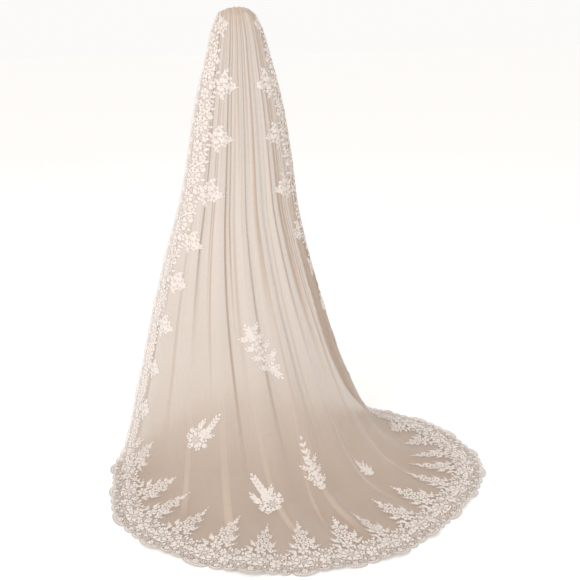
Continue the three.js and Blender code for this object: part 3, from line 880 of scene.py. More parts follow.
    def fill(self, length: float, lobes: Sequence[Lobe], inner: float, gap: float = 1.1,
             least: float = 2.2) -> None:
        """Fill what is free between the motifs with small flowers and eyelets, the widest places first.

        Args:
            length: length of the repeat, at whose ends the next ones start.
            lobes: the scallops of the outer edge.
            inner: y where the band ends.
            gap: net left free round each.
            least: radius of the smallest eyelet.
        """
        pitch, outer, rim, widest, smallest_flower = 1.5, -16.0, 8.5, 9.0, 5.2
        x, y = (part.ravel() for part in np.meshgrid(np.arange(0, length, pitch),
                                                     np.arange(outer, inner, pitch)))
        inside = y > np.array([rim - out_at(lobes, at) for at in x])
        spots = np.column_stack([x, y])[inside]
        shifts = [np.array([step, 0.0]) for step in (-length, 0.0, length)]
        tree = KDTree(3 * len(self.bm.verts))
        for number, spot in enumerate([v.co.xy + Vector(shift) for v in self.bm.verts for shift in shifts]):
            tree.insert((*spot, 0.0), number)
        tree.balance()
        room = np.array([tree.find((*spot, 0.0))[2] for spot in spots]) - gap
        while room.max() > least:
            middle, radius = spots[room.argmax()], min(room.max(), widest)
            if radius > smallest_flower:
                self.flower(tuple(middle), radius, turn=7 * middle[0], corded=False)
            else:
                self.ring(tuple(middle), radius - self.eyelet_cord / 2, self.eyelet_cord, steps=8)
            for shift in shifts:
                room = np.minimum(room, np.linalg.norm(spots - middle - shift, axis=1) - radius - gap)

    def finish(self, name: str) -> bpy.types.Mesh:
        """Close the drawing and turn its faces up.

        Args:
            name: the mesh's name.

        Returns:
            The mesh.
        """
        bmesh.ops.remove_doubles(self.bm, verts=self.bm.verts[:], dist=1e-4)
        self.bm.normal_update()
        down = [f for f in self.bm.faces if f.normal.z < -1e-6 and len(f.verts) != self.knot_corners]
        bmesh.ops.reverse_faces(self.bm, faces=down)
        return made_mesh(self.bm, name)


def made_mesh(bm: bmesh.types.BMesh, name: str) -> bpy.types.Mesh:
    """Turn a bmesh into a mesh.

    Args:
        bm: the bmesh, which is freed.
        name: the mesh's name.

    Returns:
        The mesh.
    """
    mesh = bpy.data.meshes.new(name)
    bm.to_mesh(mesh)
    bm.free()
    return mesh


def polar(middle: Point, radius: float, turn: float) -> Point:
    """The point at a distance and a turn in degrees from a middle."""
    way = math.radians(turn)
    return middle[0] + radius * math.cos(way), middle[1] + radius * math.sin(way)


def scallop(lobe: Lobe, share: float) -> float:
    """How far a scallop stands out at a share of its half width."""
    return lobe.out * max(1 - abs(share) ** 2.2, 0.0) ** 0.5


def out_at(lobes: Sequence[Lobe], x: float) -> float:
    """How far the scallops stand out at a place along the repeat."""
    shares = [(lobe, (x - lobe.middle) / lobe.half) for lobe in lobes]
    return max([scallop(lobe, share) for lobe, share in shares if abs(share) < 1], default=0.0)


@dataclass(frozen=True)
class HemRepeat:
    """One repeat of the hem's lace, with its rose and the spray that points inwards."""

    length: float = 178.0
    band: float = 112.0
    filled: float = 88.0
    lobes: tuple[Lobe, ...] = (Lobe(44.5, 44.5, 24.0), Lobe(111.25, 22.25, 15.0), Lobe(155.75, 22.25, 15.0))

    def drawings(self) -> dict[str, bpy.types.Mesh]:
        """Draw the band and the spray, by name."""
        return {"threads": self._band(), "sprays": self._spray()}

    def _band(self) -> bpy.types.Mesh:
        """Draw the band along the edge.

        Returns:
            The flat mesh.
        """
        chart = LaceChart()
        chart.rim(self.lobes)
        chart.flower((44.5, 2.5), 9.5, turn=90)
        for turn in range(-160, -19, 28):
            way = math.radians(turn)
            chart.leaf((44.5 + 10.5 * math.cos(way), 3.5 + 8.5 * math.sin(way)), turn, 8, 3.4, corded=False)
        for x in (111.25, 155.75):
            chart.flower((x, 7.0), 8.5, turn=90)
        for x in (89, 133.5, 178):
            chart.leaf((x, 12), 90, 15, 7.5)
        for points in (((4, 22), (20, 27), (34, 20)), ((56, 20), (72, 28), (92, 34)),
                       ((100, 24), (122, 24), (146, 20)), ((150, 24), (166, 32), (182, 22))):
            chart.stem(points)
        chart.rose((48, 54), 31, turn=13)
        chart.full_flower((127, 48), 21, 5, heart=7.5, cord=1.8)
        chart.flowers(((91, 52, 11, 20), (168, 52, 12, 50), (8, 52, 10.5, 80), (101, 84, 12.5, 0),
                       (158, 84, 11, 40), (16, 84, 10, 10)))
        for points in (((76, 70), (90, 68), (108, 72), (130, 76), (146, 72)),
                       ((170, 68), (180, 78), (192, 80)), ((20, 66), (12, 74), (14, 82))):
            chart.stem(points)
        chart.leaves((
            (82, 30, 200, 14), (80, 36, 150, 13), (104, 36, 20, 14), (108, 30, -20, 12), (150, 40, 30, 14),
            (150, 52, -10, 13), (146, 62, 60, 13), (108, 62, 130, 13), (112, 68, 80, 14), (20, 36, 200, 13),
            (76, 84, 60, 15), (30, 86, 120, 15), (84, 92, 100, 13), (118, 92, 70, 15), (133, 84, 95, 16),
            (142, 90, 60, 13), (172, 92, 110, 14), (176, 96, 60, 12), (26, 96, 80, 13), (2, 72, 100, 14),
            (190, 66, 80, 12), (184, 40, 150, 12), (66, 26, 170, 12), (28, 28, 20, 12),
        ))
        chart.fill(self.length, self.lobes, self.filled)
        return chart.finish("hem_band")

    @staticmethod
    def _spray() -> bpy.types.Mesh:
        """Draw the spray: a broad foot of flowers and a long leafy tip.

        Returns:
            The flat mesh.
        """
        chart = LaceChart()
        chart.full_flower((60, 114), 22, 15, heart=7, cord=1.8)
        chart.flowers(((93, 134, 15, 60), (38, 143, 14, 30), (70, 150, 15, 80), (94, 161, 12, 0),
                       (50, 170, 14, 10), (78, 183, 14, 45), (56, 200, 12.5, 20), (80, 212, 11, 70),
                       (60, 226, 11, 0), (74, 240, 9.5, 30)))
        chart.stem(((64, 130), (72, 166), (64, 198), (68, 236)))
        chart.sprig(((68, 232), (67, 248), (69, 264)), 2, 16, shrink=0.9)
        for foot, tip, pairs, leaf in (((30, 132), (10, 160), 3, 18), ((104, 138), (122, 172), 3, 18),
                                       ((92, 110), (130, 126), 3, 18), ((34, 104), (0, 122), 3, 18),
                                       ((42, 178), (30, 204), 2, 16), ((92, 190), (102, 214), 2, 16),
                                       ((50, 212), (44, 234), 2, 13)):
            chart.sprig((foot, tip), pairs, leaf)
        return chart.finish("hem_spray")


@dataclass(frozen=True)
class SideRepeat:
    """One repeat of the lace of a front edge, narrower than the hem's."""

    length: float = 160.0
    band: float = 90.0
    filled: float = 74.0
    # Share of its full width that it is drawn at
    drawn_scale: float = 0.8
    lobes: tuple[Lobe, ...] = (Lobe(40.0, 40.0, 15.0), Lobe(100.0, 20.0, 11.0), Lobe(140.0, 20.0, 11.0))

    def drawings(self) -> dict[str, bpy.types.Mesh]:
        """Draw the repeat.

        Returns:
            Its one flat mesh, by name.
        """
        chart = LaceChart()
        chart.rim(self.lobes)
        chart.flower((40, 5), 9.5, turn=90)
        for x in (100, 140):
            chart.flower((x, 9.5), 8, turn=90)
        chart.rose((44, 44), 24, turn=13)
        chart.full_flower((112, 42), 17, 5, heart=6.0, cord=1.7)
        chart.flowers(((79, 34, 10.5, 20), (148, 38, 11, 50), (8, 44, 11, 80), (84, 66, 12, 0),
                       (146, 66, 11, 40), (14, 70, 10, 10)))
        for points in (((4, 20), (18, 24), (30, 18)), ((54, 18), (66, 24), (84, 20)),
                       ((66, 58), (78, 54), (98, 60)), ((128, 50), (140, 54), (158, 56))):
            chart.stem(points)
        chart.leaves((
            (70, 26, 200, 13), (92, 26, 20, 12), (132, 30, 30, 13), (128, 52, 60, 13), (96, 54, 130, 13),
            (66, 70, 60, 14), (26, 70, 120, 14), (102, 72, 80, 14), (118, 66, 95, 15), (128, 70, 60, 12),
            (156, 74, 110, 13), (2, 58, 100, 13), (24, 28, 200, 12), (50, 72, 95, 13), (164, 50, 80, 11),
        ))
        chart.full_flower((78, 97), 18, 20, heart=6.4, cord=1.7)
        chart.flowers(((57, 104, 12, 40), (99, 101, 12.5, 10), (66, 122, 11.5, 70), (90, 124, 11, 30),
                       (77, 138, 9.5, 0)))
        chart.sprig(((79, 112), (81, 130), (78, 150)), 3, 15)
        for foot, tip in (((52, 98), (38, 118)), ((106, 96), (120, 112))):
            chart.sprig((foot, tip), 2, 14)
        chart.fill(self.length, self.lobes, self.filled)
        return {"threads": chart.finish("side_repeat")}


class SprayKind(Enum):
    """How the flowers of a loose spray are set."""

    CLUSTER = "flowers down its whole length"
    BLOOM = "one large bloom at its foot and a leafy tip"
    SLIM = "small leaves and buds only"


@dataclass
class LooseSpray:
    """A lace spray on its own, drawn from its tip at y 0 to its foot at y length."""

    kind: SprayKind
    length: float

    def draw(self) -> bpy.types.Mesh:
        """Draw the spray.

        Returns:
            The flat mesh.
        """
        chart = LaceChart()
        draw = {SprayKind.CLUSTER: self._cluster, SprayKind.BLOOM: self._bloom, SprayKind.SLIM: self._slim}
        draw[self.kind](chart)
        return chart.finish(f"spray_{self.kind.name.lower()}")

    def _flowers(self, chart: LaceChart, rows: Iterable[tuple[float, float, float]], turning: float) -> None:
        """Add flowers, from rows of x, share of the length and radius, each turned by its share."""
        chart.flowers((x, share * self.length, radius, turning * share) for x, share, radius in rows)

    def _cluster(self, chart: LaceChart) -> None:
        """Draw flowers down its whole length, a rose, leaves out to both sides, and a leafy lower end.

        Args:
            chart: the drawing.
        """
        far = self.length
        self._flowers(chart, ((-13, 0.12, 15), (11, 0.19, 16), (-12, 0.28, 17), (12, 0.36, 17),
                              (-13, 0.45, 16), (11, 0.53, 15), (14, 0.77, 12), (-11, 0.83, 11)), 400)
        chart.rose((-3, 0.66 * far), 23, turn=12)
        chart.sprig(((2, 0.74 * far), (6, 0.84 * far), (2, 0.98 * far)), 4, 24, shrink=0.8)
        chart.sprig(((0, 0.30 * far), (2, 0.16 * far), (0, 4)), 4, 26, shrink=0.8)
        self._side_sprigs(chart, (0.13, 0.21, 0.30, 0.39, 0.48, 0.57, 0.66, 0.76), (17, 39), 0.07)

    def _side_sprigs(self, chart: LaceChart, shares: Sequence[float], out: tuple[float, float],
                     rise: float) -> None:
        """Add sprigs out to both sides by turns.

        Args:
            chart: the drawing.
            shares: shares of the length where they start.
            out: how far to the side they start and end.
            rise: share of the length that each climbs.
        """
        for k, share in enumerate(shares):
            side = 1 if k % 2 else -1
            foot, tip = (side * out[0], share * self.length), (side * out[1], (share - rise) * self.length)
            chart.sprig((foot, tip), 2, 19, shrink=0.85)

    def _bloom(self, chart: LaceChart) -> None:
        """Draw a leafy tip over a large rose, with flowers round it and a side shoot.

        Args:
            chart: the drawing.
        """
        far = self.length
        chart.sprig(((0, 0.70 * far), (-5, 0.42 * far), (0, 6)), 7, 31, shrink=0.75)
        chart.rose((0, 0.80 * far), 33, turn=10)
        self._flowers(chart, ((-24, 0.63, 16), (6, 0.55, 16), (29, 0.66, 15), (35, 0.88, 14),
                              (-33, 0.86, 15), (-5, 0.98, 13), (-10, 0.42, 12)), 300)
        chart.sprig(((28, 0.60 * far), (38, 0.50 * far), (42, 0.36 * far)), 4, 23, shrink=0.8)
        for foot, tip in (((34, 0.78), (52, 0.72)), ((-34, 0.76), (-52, 0.70)), ((-20, 0.56), (-38, 0.44))):
            chart.sprig(((foot[0], foot[1] * far), (tip[0], tip[1] * far)), 2, 20, shrink=0.85)

    def _slim(self, chart: LaceChart) -> None:
        """Draw leaves and small flowers down a slender stem, fullest in its lower half.

        Args:
            chart: the drawing.
        """
        far = self.length
        chart.sprig(((2, far - 4), (-4, 0.66 * far), (5, 0.33 * far), (0, 5)), 9, 30, shrink=0.75)
        self._flowers(chart, ((-8, 0.22, 11), (8, 0.34, 13), (-9, 0.46, 16), (10, 0.56, 17),
                              (-10, 0.67, 18), (11, 0.77, 17), (-7, 0.87, 14)), 300)
        self._side_sprigs(chart, (0.40, 0.50, 0.60, 0.70, 0.80), (14, 36), 0.09)


class Signal:
    """A shader value that takes part in Python sums."""

    def __init__(self, tree: "Shader", socket: bpy.types.NodeSocket) -> None:
        """Wrap an output socket of a material's tree."""
        self.tree = tree
        self.socket = socket

    def _sum(self, operation: str, *values: "Signal | float") -> "Signal":
        """Add a Math node on some values."""
        node = self.tree.node("ShaderNodeMath", {"operation": operation}, dict(enumerate(values)))
        return Signal(self.tree, node.outputs[0])

    def __add__(self, other: "Signal | float") -> "Signal":
        """Sum."""
        return self._sum("ADD", self, other)

    __radd__ = __add__

    def __sub__(self, other: "Signal | float") -> "Signal":
        """Difference."""
        return self._sum("SUBTRACT", self, other)

    def __rsub__(self, other: float) -> "Signal":
        """Difference from a number."""
        return self._sum("SUBTRACT", other, self)

    def __mul__(self, other: "Signal | float") -> "Signal":
        """Product."""
        return self._sum("MULTIPLY", self, other)

    __rmul__ = __mul__

    def wave(self) -> "Signal":
        """Cosine."""
        return self._sum("COSINE", self)

    def above(self, limit: float) -> "Signal":
        """1 where over a limit, else 0."""
        return self._sum("GREATER_THAN", self, limit)

    def spread(self, low: float, high: float) -> "Signal":
        """Rise smoothly from 0 at low to 1 at high."""
        node = self.tree.node("ShaderNodeMapRange", {"interpolation_type": "SMOOTHSTEP"},
                              {"Value": self, "From Min": low, "From Max": high})
        return Signal(self.tree, node.outputs["Result"])


class Shader:
    """A material's nodes, added one call at a time."""

    def __init__(self, name: str) -> None:
        """Start a material with only its surface shader.

        Args:
            name: the material's name.
        """
        self.material = bpy.data.materials.new(name)
        self.material.use_nodes = True
        self.nodes = self.material.node_tree.nodes
        self.links = self.material.node_tree.links
        self.surface = self.nodes["Principled BSDF"]

    def node(self, kind: str, settings: dict | None = None, inputs: dict | None = None
             ) -> bpy.types.ShaderNode:
        """Add a node.

        Args:
            kind: its type.
            settings: its own settings, set first.
            inputs: values or links of its sockets, by name or number.

        Returns:
            The node.
        """
        node = self.nodes.new(kind)
        for name, value in (settings or {}).items():
            setattr(node, name, value)
        self.feed(node, inputs or {})
        return node

    def feed(self, node: bpy.types.ShaderNode, inputs: dict) -> None:
        """Set or link some input sockets of a node.

        Args:
            node: the node.
            inputs: values or links, by socket name or number.
        """
        for name, value in inputs.items():
            if isinstance(value, Signal):
                self.links.new(value.socket, node.inputs[name])
            elif isinstance(value, bpy.types.NodeSocket):
                self.links.new(value, node.inputs[name])
            else:
                node.inputs[name].default_value = value

    def uv(self) -> tuple[Signal, Signal]:
        """Read the piece's UV map.

        Returns:
            Its two numbers.
        """
        where = self.node("ShaderNodeUVMap", {"uv_map": UV_NAME}).outputs[0]
        parts = self.node("ShaderNodeSeparateXYZ", {}, {0: where})
        return Signal(self, parts.outputs[0]), Signal(self, parts.outputs[1])

    def attribute(self, name: str) -> Signal:
        """A number that the mesh carries."""
        return Signal(self, self.node("ShaderNodeAttribute", {"attribute_name": name}).outputs["Fac"])

    def noise(self, scale: float, detail: float = 2.0) -> Signal:
        """Add soft noise on object coordinates.

        Args:
            scale: waves in a metre.
            detail: finer layers in it.

        Returns:
            Its strength, about 0 to 1.
        """
        where = self.node("ShaderNodeTexCoord").outputs["Object"]
        noise = self.node("ShaderNodeTexNoise", {}, {"Vector": where, "Scale": scale, "Detail": detail})
        return Signal(self, noise.outputs[0])

    def blend(self, factor: Signal, low: Colour | bpy.types.NodeSocket, high: Colour | bpy.types.NodeSocket
              ) -> bpy.types.NodeSocket:
        """Mix two colours.

        Args:
            factor: 0 for low to 1 for high.
            low: a colour or a link.
            high: a colour or a link.

        Returns:
            The mixed colour.
        """
        ends = [end if isinstance(end, bpy.types.NodeSocket) else (*end, 1.0) for end in (low, high)]
        mix = self.node("ShaderNodeMix", {"data_type": "RGBA"}, {0: factor, 6: ends[0], 7: ends[1]})
        return mix.outputs[2]

    def bump(self, height: Signal, strength: float, distance: float) -> bpy.types.NodeSocket:
        """Add a bump of the surface.

        Args:
            height: the relief.
            strength: its strength, 0 to 1.
            distance: its depth, in metres.

        Returns:
            The normal.
        """
        relief = {"Strength": strength, "Distance": distance, "Height": height}
        return self.node("ShaderNodeBump", {}, relief).outputs[0]


HALF, SIXTY_SINE = 0.5, 0.866


def honeycomb(x: Signal, y: Signal, cell: float) -> Signal:
    """Draw round holes in six-sided rows.

    Args:
        x: place along the rows.
        y: place across them.
        cell: distance between holes, in the unit of x and y.

    Returns:
        A number that is high inside a hole.
    """
    rate = 4 * math.pi / (cell * math.sqrt(3))
    slant_x, slant_y = -HALF * rate, SIXTY_SINE * rate
    waves = [(x * rate).wave(), (x * slant_x + y * slant_y).wave(), (x * slant_x + y * -slant_y).wave()]
    return waves[0] + waves[1] + waves[2]


@dataclass(frozen=True)
class TulleNet:
    """Fine bridal tulle: soft six-sided net, closer where it is gathered."""

    pale: Colour = (0.70, 0.57, 0.475)
    deep: Colour = (0.40, 0.285, 0.205)
    open_alpha: float = 0.42
    thread_alpha: float = 0.72
    gathered_alpha: float = 0.42
    cell: float = 2.4
    hole_edge: tuple[float, float] = (-0.9, 1.6)
    hole_relief: float = 0.1
    mottle: float = 0.12
    mottle_scale: float = 2.2

    def make(self) -> bpy.types.Material:
        """Make the material.

        Returns:
            The material. Its UV map is the flat cloth in millimetres, the attribute gather is how close the
            net lies, and light is its tone, which holds painted shade along the pleats and on the floor and
            painted light near the front edges.
        """
        shader = Shader("tulle_net")
        x, y = shader.uv()
        hole = honeycomb(x, y, self.cell).spread(*self.hole_edge)
        gather, light = shader.attribute("gather"), shader.attribute("light")
        threads = (1 - hole) * (self.thread_alpha - self.open_alpha)
        # The light attribute carries painted shade along the pleats and on the floor and painted light near
        # the front edges; the noise adds random mottle
        tone = light + shader.noise(self.mottle_scale).spread(0.3, 0.7) * self.mottle
        shader.feed(shader.surface, {
            "Base Color": shader.blend(tone, self.deep, self.pale),
            "Alpha": threads + self.open_alpha + gather * self.gathered_alpha,
            "Roughness": 0.55,
            "Sheen Weight": 0.35,
            "Sheen Roughness": 0.4,
            "Specular IOR Level": 0.25,
            "Normal": shader.bump(hole * self.hole_relief + gather, 0.6, 0.004),
        })
        return shader.material


@dataclass(frozen=True)
class LaceGround:
    """The net that the lace is worked on, closer than the tulle."""

    name: str = "lace_hem_ground_painted_shade"
    # Defaults for the hem's net, painted darker than the side edges' net as shade where it lies on the floor
    colour: Colour = (0.50, 0.41, 0.35)
    shade: Colour = (0.40, 0.325, 0.275)
    open_alpha: float = 0.14
    thread_alpha: float = 0.58
    cell: float = 3.4
    hole_edge: tuple[float, float] = (-0.6, 1.2)
    mottle_scale: float = 30

    def make(self) -> bpy.types.Material:
        """Make the material.

        Returns:
            The material. Its UV map is the flat lace in millimetres.
        """
        shader = Shader(self.name)
        x, y = shader.uv()
        hole = honeycomb(x, y, self.cell).spread(*self.hole_edge)
        shader.feed(shader.surface, {
            "Base Color": shader.blend(shader.noise(self.mottle_scale).spread(0.3, 0.7), self.shade,
                                       self.colour),
            "Alpha": (1 - hole) * (self.thread_alpha - self.open_alpha) + self.open_alpha,
            "Roughness": 0.7,
            "Sheen Weight": 0.2,
            "Specular IOR Level": 0.2,
            "Normal": shader.bump(hole, 0.3, 0.0004),
        })
        return shader.material


@dataclass(frozen=True)
class LaceThread:
    """Corded and satin-stitched lace thread, brighter on the cords and finely ribbed."""

    cord: Colour = (0.89, 0.81, 0.755)
    satin: Colour = (0.73, 0.65, 0.60)
    rim: Colour = (0.50, 0.45, 0.42)
    twist: float = 1.6
    # How far the ribs slant over a cord and over satin
    cord_slant: float = 2.4
    satin_slant: float = 9.0
    satin_share: float = 0.8
    mottle: float = 0.25
    mottle_scale: float = 60
    rib_shade: float = 0.05
    rib_relief: float = 0.5
    fuzz_scale: float = 900

    def make(self) -> bpy.types.Material:
        """Make the material.

        Returns:
            The material. The v of its UV map tells the kinds of stitch apart.
        """
        shader = Shader("lace_thread")
        x, y = shader.uv()
        rim = y.above(Stitch.RIM.value - 0.5)
        satin = y.above(Stitch.SATIN.value - 0.5) - rim
        rate = 2 * math.pi / self.twist
        ribs = (x * rate + y * (self.cord_slant * (1 - satin) + self.satin_slant * satin)).wave()
        mottle = shader.noise(self.mottle_scale, 3.0).spread(0.35, 0.75) * self.mottle
        tone = satin * self.satin_share + mottle - ribs * self.rib_shade
        shader.feed(shader.surface, {
            "Base Color": shader.blend(rim, shader.blend(tone, self.cord, self.satin), self.rim),
            "Roughness": 0.6 - 0.1 * satin,
            "Sheen Weight": 0.3,
            "Specular IOR Level": 0.35,
            "Normal": shader.bump(ribs * self.rib_relief + shader.noise(self.fuzz_scale), 0.5, 0.0005),
        })
        return shader.material


@dataclass(frozen=True)
class CombPlastic:
    """Clear ivory plastic of the comb, satin, with faint flow marks."""

    colour: Colour = (0.80, 0.76, 0.70)
    mark: Colour = (0.70, 0.65, 0.58)
    mark_scale: float = 140
    polish: float = 0.28
    unevenness: float = 0.15

    def make(self) -> bpy.types.Material:
        """Make the material.

        Returns:
            The material.
        """
        shader = Shader("comb_plastic")
        flow = shader.noise(self.mark_scale, 4.0)
        shader.feed(shader.surface, {
            "Base Color": shader.blend(flow.spread(0.35, 0.7), self.colour, self.mark),
            "Roughness": flow * self.unevenness + self.polish,
            "Coat Weight": 0.25,
            "Normal": shader.bump(flow, 0.15, 0.0003),
        })
        return shader.material


@dataclass
class Wardrobe:
    """The finishes, made once."""

    tulle: bpy.types.Material
    # The hem's net carries painted shade of the floor; the side edges' net is the paler copy
    ground: bpy.types.Material
    side_ground: bpy.types.Material
    thread: bpy.types.Material
    comb: bpy.types.Material

    @classmethod
    def make(cls) -> "Wardrobe":
        """Make every finish; the net of the side edges is paler and more open than the hem's, whose darker
        colour is painted shade where it lies on the floor.

        Returns:
            The finishes.
        """
        side = LaceGround("lace_side_ground", colour=(0.66, 0.56, 0.49), shade=(0.55, 0.46, 0.39),
                          open_alpha=0.08, thread_alpha=0.42)
        return cls(TulleNet().make(), LaceGround().make(), side.make(), LaceThread().make(),
                   CombPlastic().make())


def add_piece(name: str, mesh: bpy.types.Mesh, material: bpy.types.Material) -> bpy.types.Object:
    """Put a finished mesh in the scene as a smooth-shaded piece of the veil.

    Args:
        name: the piece's name.
        mesh: its mesh, in metres.
        material: its finish.

    Returns:
        The piece.
    """
    mesh.name = name
    mesh.polygons.foreach_set("use_smooth", [True] * len(mesh.polygons))
    mesh.materials.clear()
    mesh.materials.append(material)
    piece = bpy.data.objects.new(name, mesh)
    bpy.context.scene.collection.objects.link(piece)
    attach(piece, BODY)
    log.info("%s: %d triangles", name, sum(len(p.vertices) - 2 for p in mesh.polygons))
    return piece


def grid_mesh(name: str, columns: int, rows: int) -> tuple[bpy.types.Mesh, np.ndarray]:
    """Make a flat grid to be laid on the cloth.

    Args:
        name: the mesh's name.
        columns: faces one way.
        rows: faces the other way.

    Returns:
        The mesh, and each vertex's two shares from 0 to 1.
    """
    bm = bmesh.new()
    bmesh.ops.create_grid(bm, x_segments=columns, y_segments=rows, size=0.5, calc_uvs=True)
    mesh = made_mesh(bm, name)
    return mesh, read_points(mesh)[:, :2] + 0.5


def read_points(mesh: bpy.types.Mesh) -> np.ndarray:
    """Read the vertices of a mesh.

    Args:
        mesh: the mesh.

    Returns:
        A row of three for each vertex.
    """
    flat = np.empty(len(mesh.vertices) * 3, np.float32)
    mesh.vertices.foreach_get("co", flat)
    return flat.reshape(-1, 3).astype(float)


def write_points(mesh: bpy.types.Mesh, points: np.ndarray) -> None:
    """Put a mesh's vertices at new points."""
    mesh.vertices.foreach_set("co", points.astype(np.float32).ravel())
    mesh.update()


def write_uv(mesh: bpy.types.Mesh, uv: np.ndarray) -> None:
    """Set the UV map of a mesh.

    Args:
        mesh: the mesh.
        uv: one pair for each vertex.
    """
    layer = mesh.uv_layers.get(UV_NAME) or mesh.uv_layers.new(name=UV_NAME)
    corner = np.empty(len(mesh.loops), np.int32)
    mesh.loops.foreach_get("vertex_index", corner)
    layer.data.foreach_set("uv", uv[corner].astype(np.float32).ravel())


def repeated(flat: bpy.types.Mesh, count: int, name: str, mirrored: bool = False) -> bpy.types.Mesh:
    """Copy a flat drawing a number of times in the same place.

    Args:
        flat: the drawing.
        count: how many copies.
        name: the new mesh's name.
        mirrored: whether its faces are turned over.

    Returns:
        One mesh of all the copies.
    """
    bm = bmesh.new()
    for _ in range(count):
        bm.from_mesh(flat)
    if mirrored:
        bmesh.ops.reverse_faces(bm, faces=bm.faces[:])
    return made_mesh(bm, name)


@dataclass
class TulleCloth:
    """The net of the veil, one sheet from the comb to the hem."""

    form: VeilForm
    border: Border
    columns: int = 430
    rows: int = 214
    lift: float = 0.6
    # How much closer the columns lie at the edges
    edge_closeness: float = 0.12
    reach_samples: int = 900
    train_ease: float = 0.6
    # Where across the painted light near the front edges starts and is full
    front_band: tuple[float, float] = (0.86, 0.96)
    # Creases of the train: place across, drift, half width, and where each ends
    creases: tuple = (
        (-0.07, 0.05, 0.012, 0.92), (-0.03, 0.30, 0.006, 0.86), (0.17, -0.1, 0.010, 0.9),
        (0.345, 0.12, 0.014, 0.93), (-0.26, -0.2, 0.010, 0.85), (-0.5, 0.1, 0.012, 0.84),
        (0.52, 0.05, 0.010, 0.85),
    )
    crease_start: float = 0.6
    crease_fade: float = 0.15
    crease_side: tuple[float, float] = (0.7, 1.5)

    def build(self, finish: bpy.types.Material) -> bpy.types.Object:
        """Build the cloth down to the line that the lace follows.

        Args:
            finish: the net.

        Returns:
            The piece.
        """
        mesh, shares = grid_mesh("tulle_cloth", self.columns, self.rows)
        centred = 2 * shares[:, 0] - 1
        across = centred * (1 + self.edge_closeness * (1 - centred * centred))
        along = shares[:, 1] * self._reach(across)
        points, closeness = self.form.lay(across, along, np.full_like(across, self.lift))
        write_points(mesh, points)
        write_uv(mesh, np.column_stack([across * CLOTH_WIDTH / 2, along * CLOTH_LENGTH]))
        for name, tone in zip(("gather", "light"), self._tones(across, along, closeness)):
            values = np.clip(tone, 0, 1).astype(np.float32)
            mesh.attributes.new(name, "FLOAT", "POINT").data.foreach_set("value", values)
        self._face_out(mesh)
        piece = add_piece("tulle_cloth", mesh, finish)
        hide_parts("tulle")
        return piece

    def _tones(self, across: np.ndarray, along: np.ndarray, closeness: np.ndarray
               ) -> tuple[np.ndarray, np.ndarray]:
        """Add up how close and how light the net is, with shade painted along the pleats and on the floor
        and light painted near the front edges.

        Args:
            across: places across.
            along: places along.
            closeness: how close the cloth is gathered at each.

        Returns:
            Closeness and light.
        """
        share = {part: smooth_step(along, *levels) for part, levels in NET_LEVELS.items()}
        parts = {
            "whole": np.ones_like(along),
            # Painted shade: darker tone along the gathered pleats, fading out down the veil
            "gathers": closeness * (1 - self.train_ease * share["train"]),
            "painted_pleat_shade": closeness * (1 - share["painted_pleat_shade"]),
            "crown": 1 - share["crown"],
            "creases": self._creases(across, along) * share["train"],
            # Painted shade where the net lies on the floor, which is also a little closer there
            "skirt": share["skirt"],
            "floor": share["floor"],
            # Painted light on the inner face near the front edges, which is also more open there
            "front": smooth_step(np.abs(across), *self.front_band) * (1 - share["floor"]),
        }
        gather, light = (sum(NET_TONES[part][k] * values for part, values in parts.items()) for k in (0, 1))
        return gather, light

    def _creases(self, across: np.ndarray, along: np.ndarray) -> np.ndarray:
        """Find where the net lies double along the side of a fold.

        Args:
            across: places across.
            along: places along.

        Returns:
            0 to 1 at each place.
        """
        crease = np.zeros_like(across)
        for place, drift, half, end in self.creases:
            offset = np.abs(across - place - drift * (along - self.crease_start)) / half
            fading = 1 - smooth_step(along, end - self.crease_fade, end)
            crease += (1 - smooth_step(offset, *self.crease_side)) * fading
        return crease

    def _reach(self, across: np.ndarray) -> np.ndarray:
        """Find how far along the hem's line lies.

        Args:
            across: places across.

        Returns:
            Along, at each place.
        """
        places = np.linspace(self.border.start - 1, self.border.end + 1, self.reach_samples)
        line = self.border.at(places)
        order = np.argsort(line[:, 0], kind="stable")
        return np.interp(across, line[order, 0], line[order, 1])

    @staticmethod
    def _face_out(mesh: bpy.types.Mesh) -> None:
        """Turn the faces outwards, away from the hollow.

        Args:
            mesh: the cloth.
        """
        middle = mesh.polygons[len(mesh.polygons) // 3]
        if middle.normal.y < 0:
            mesh.flip_normals()


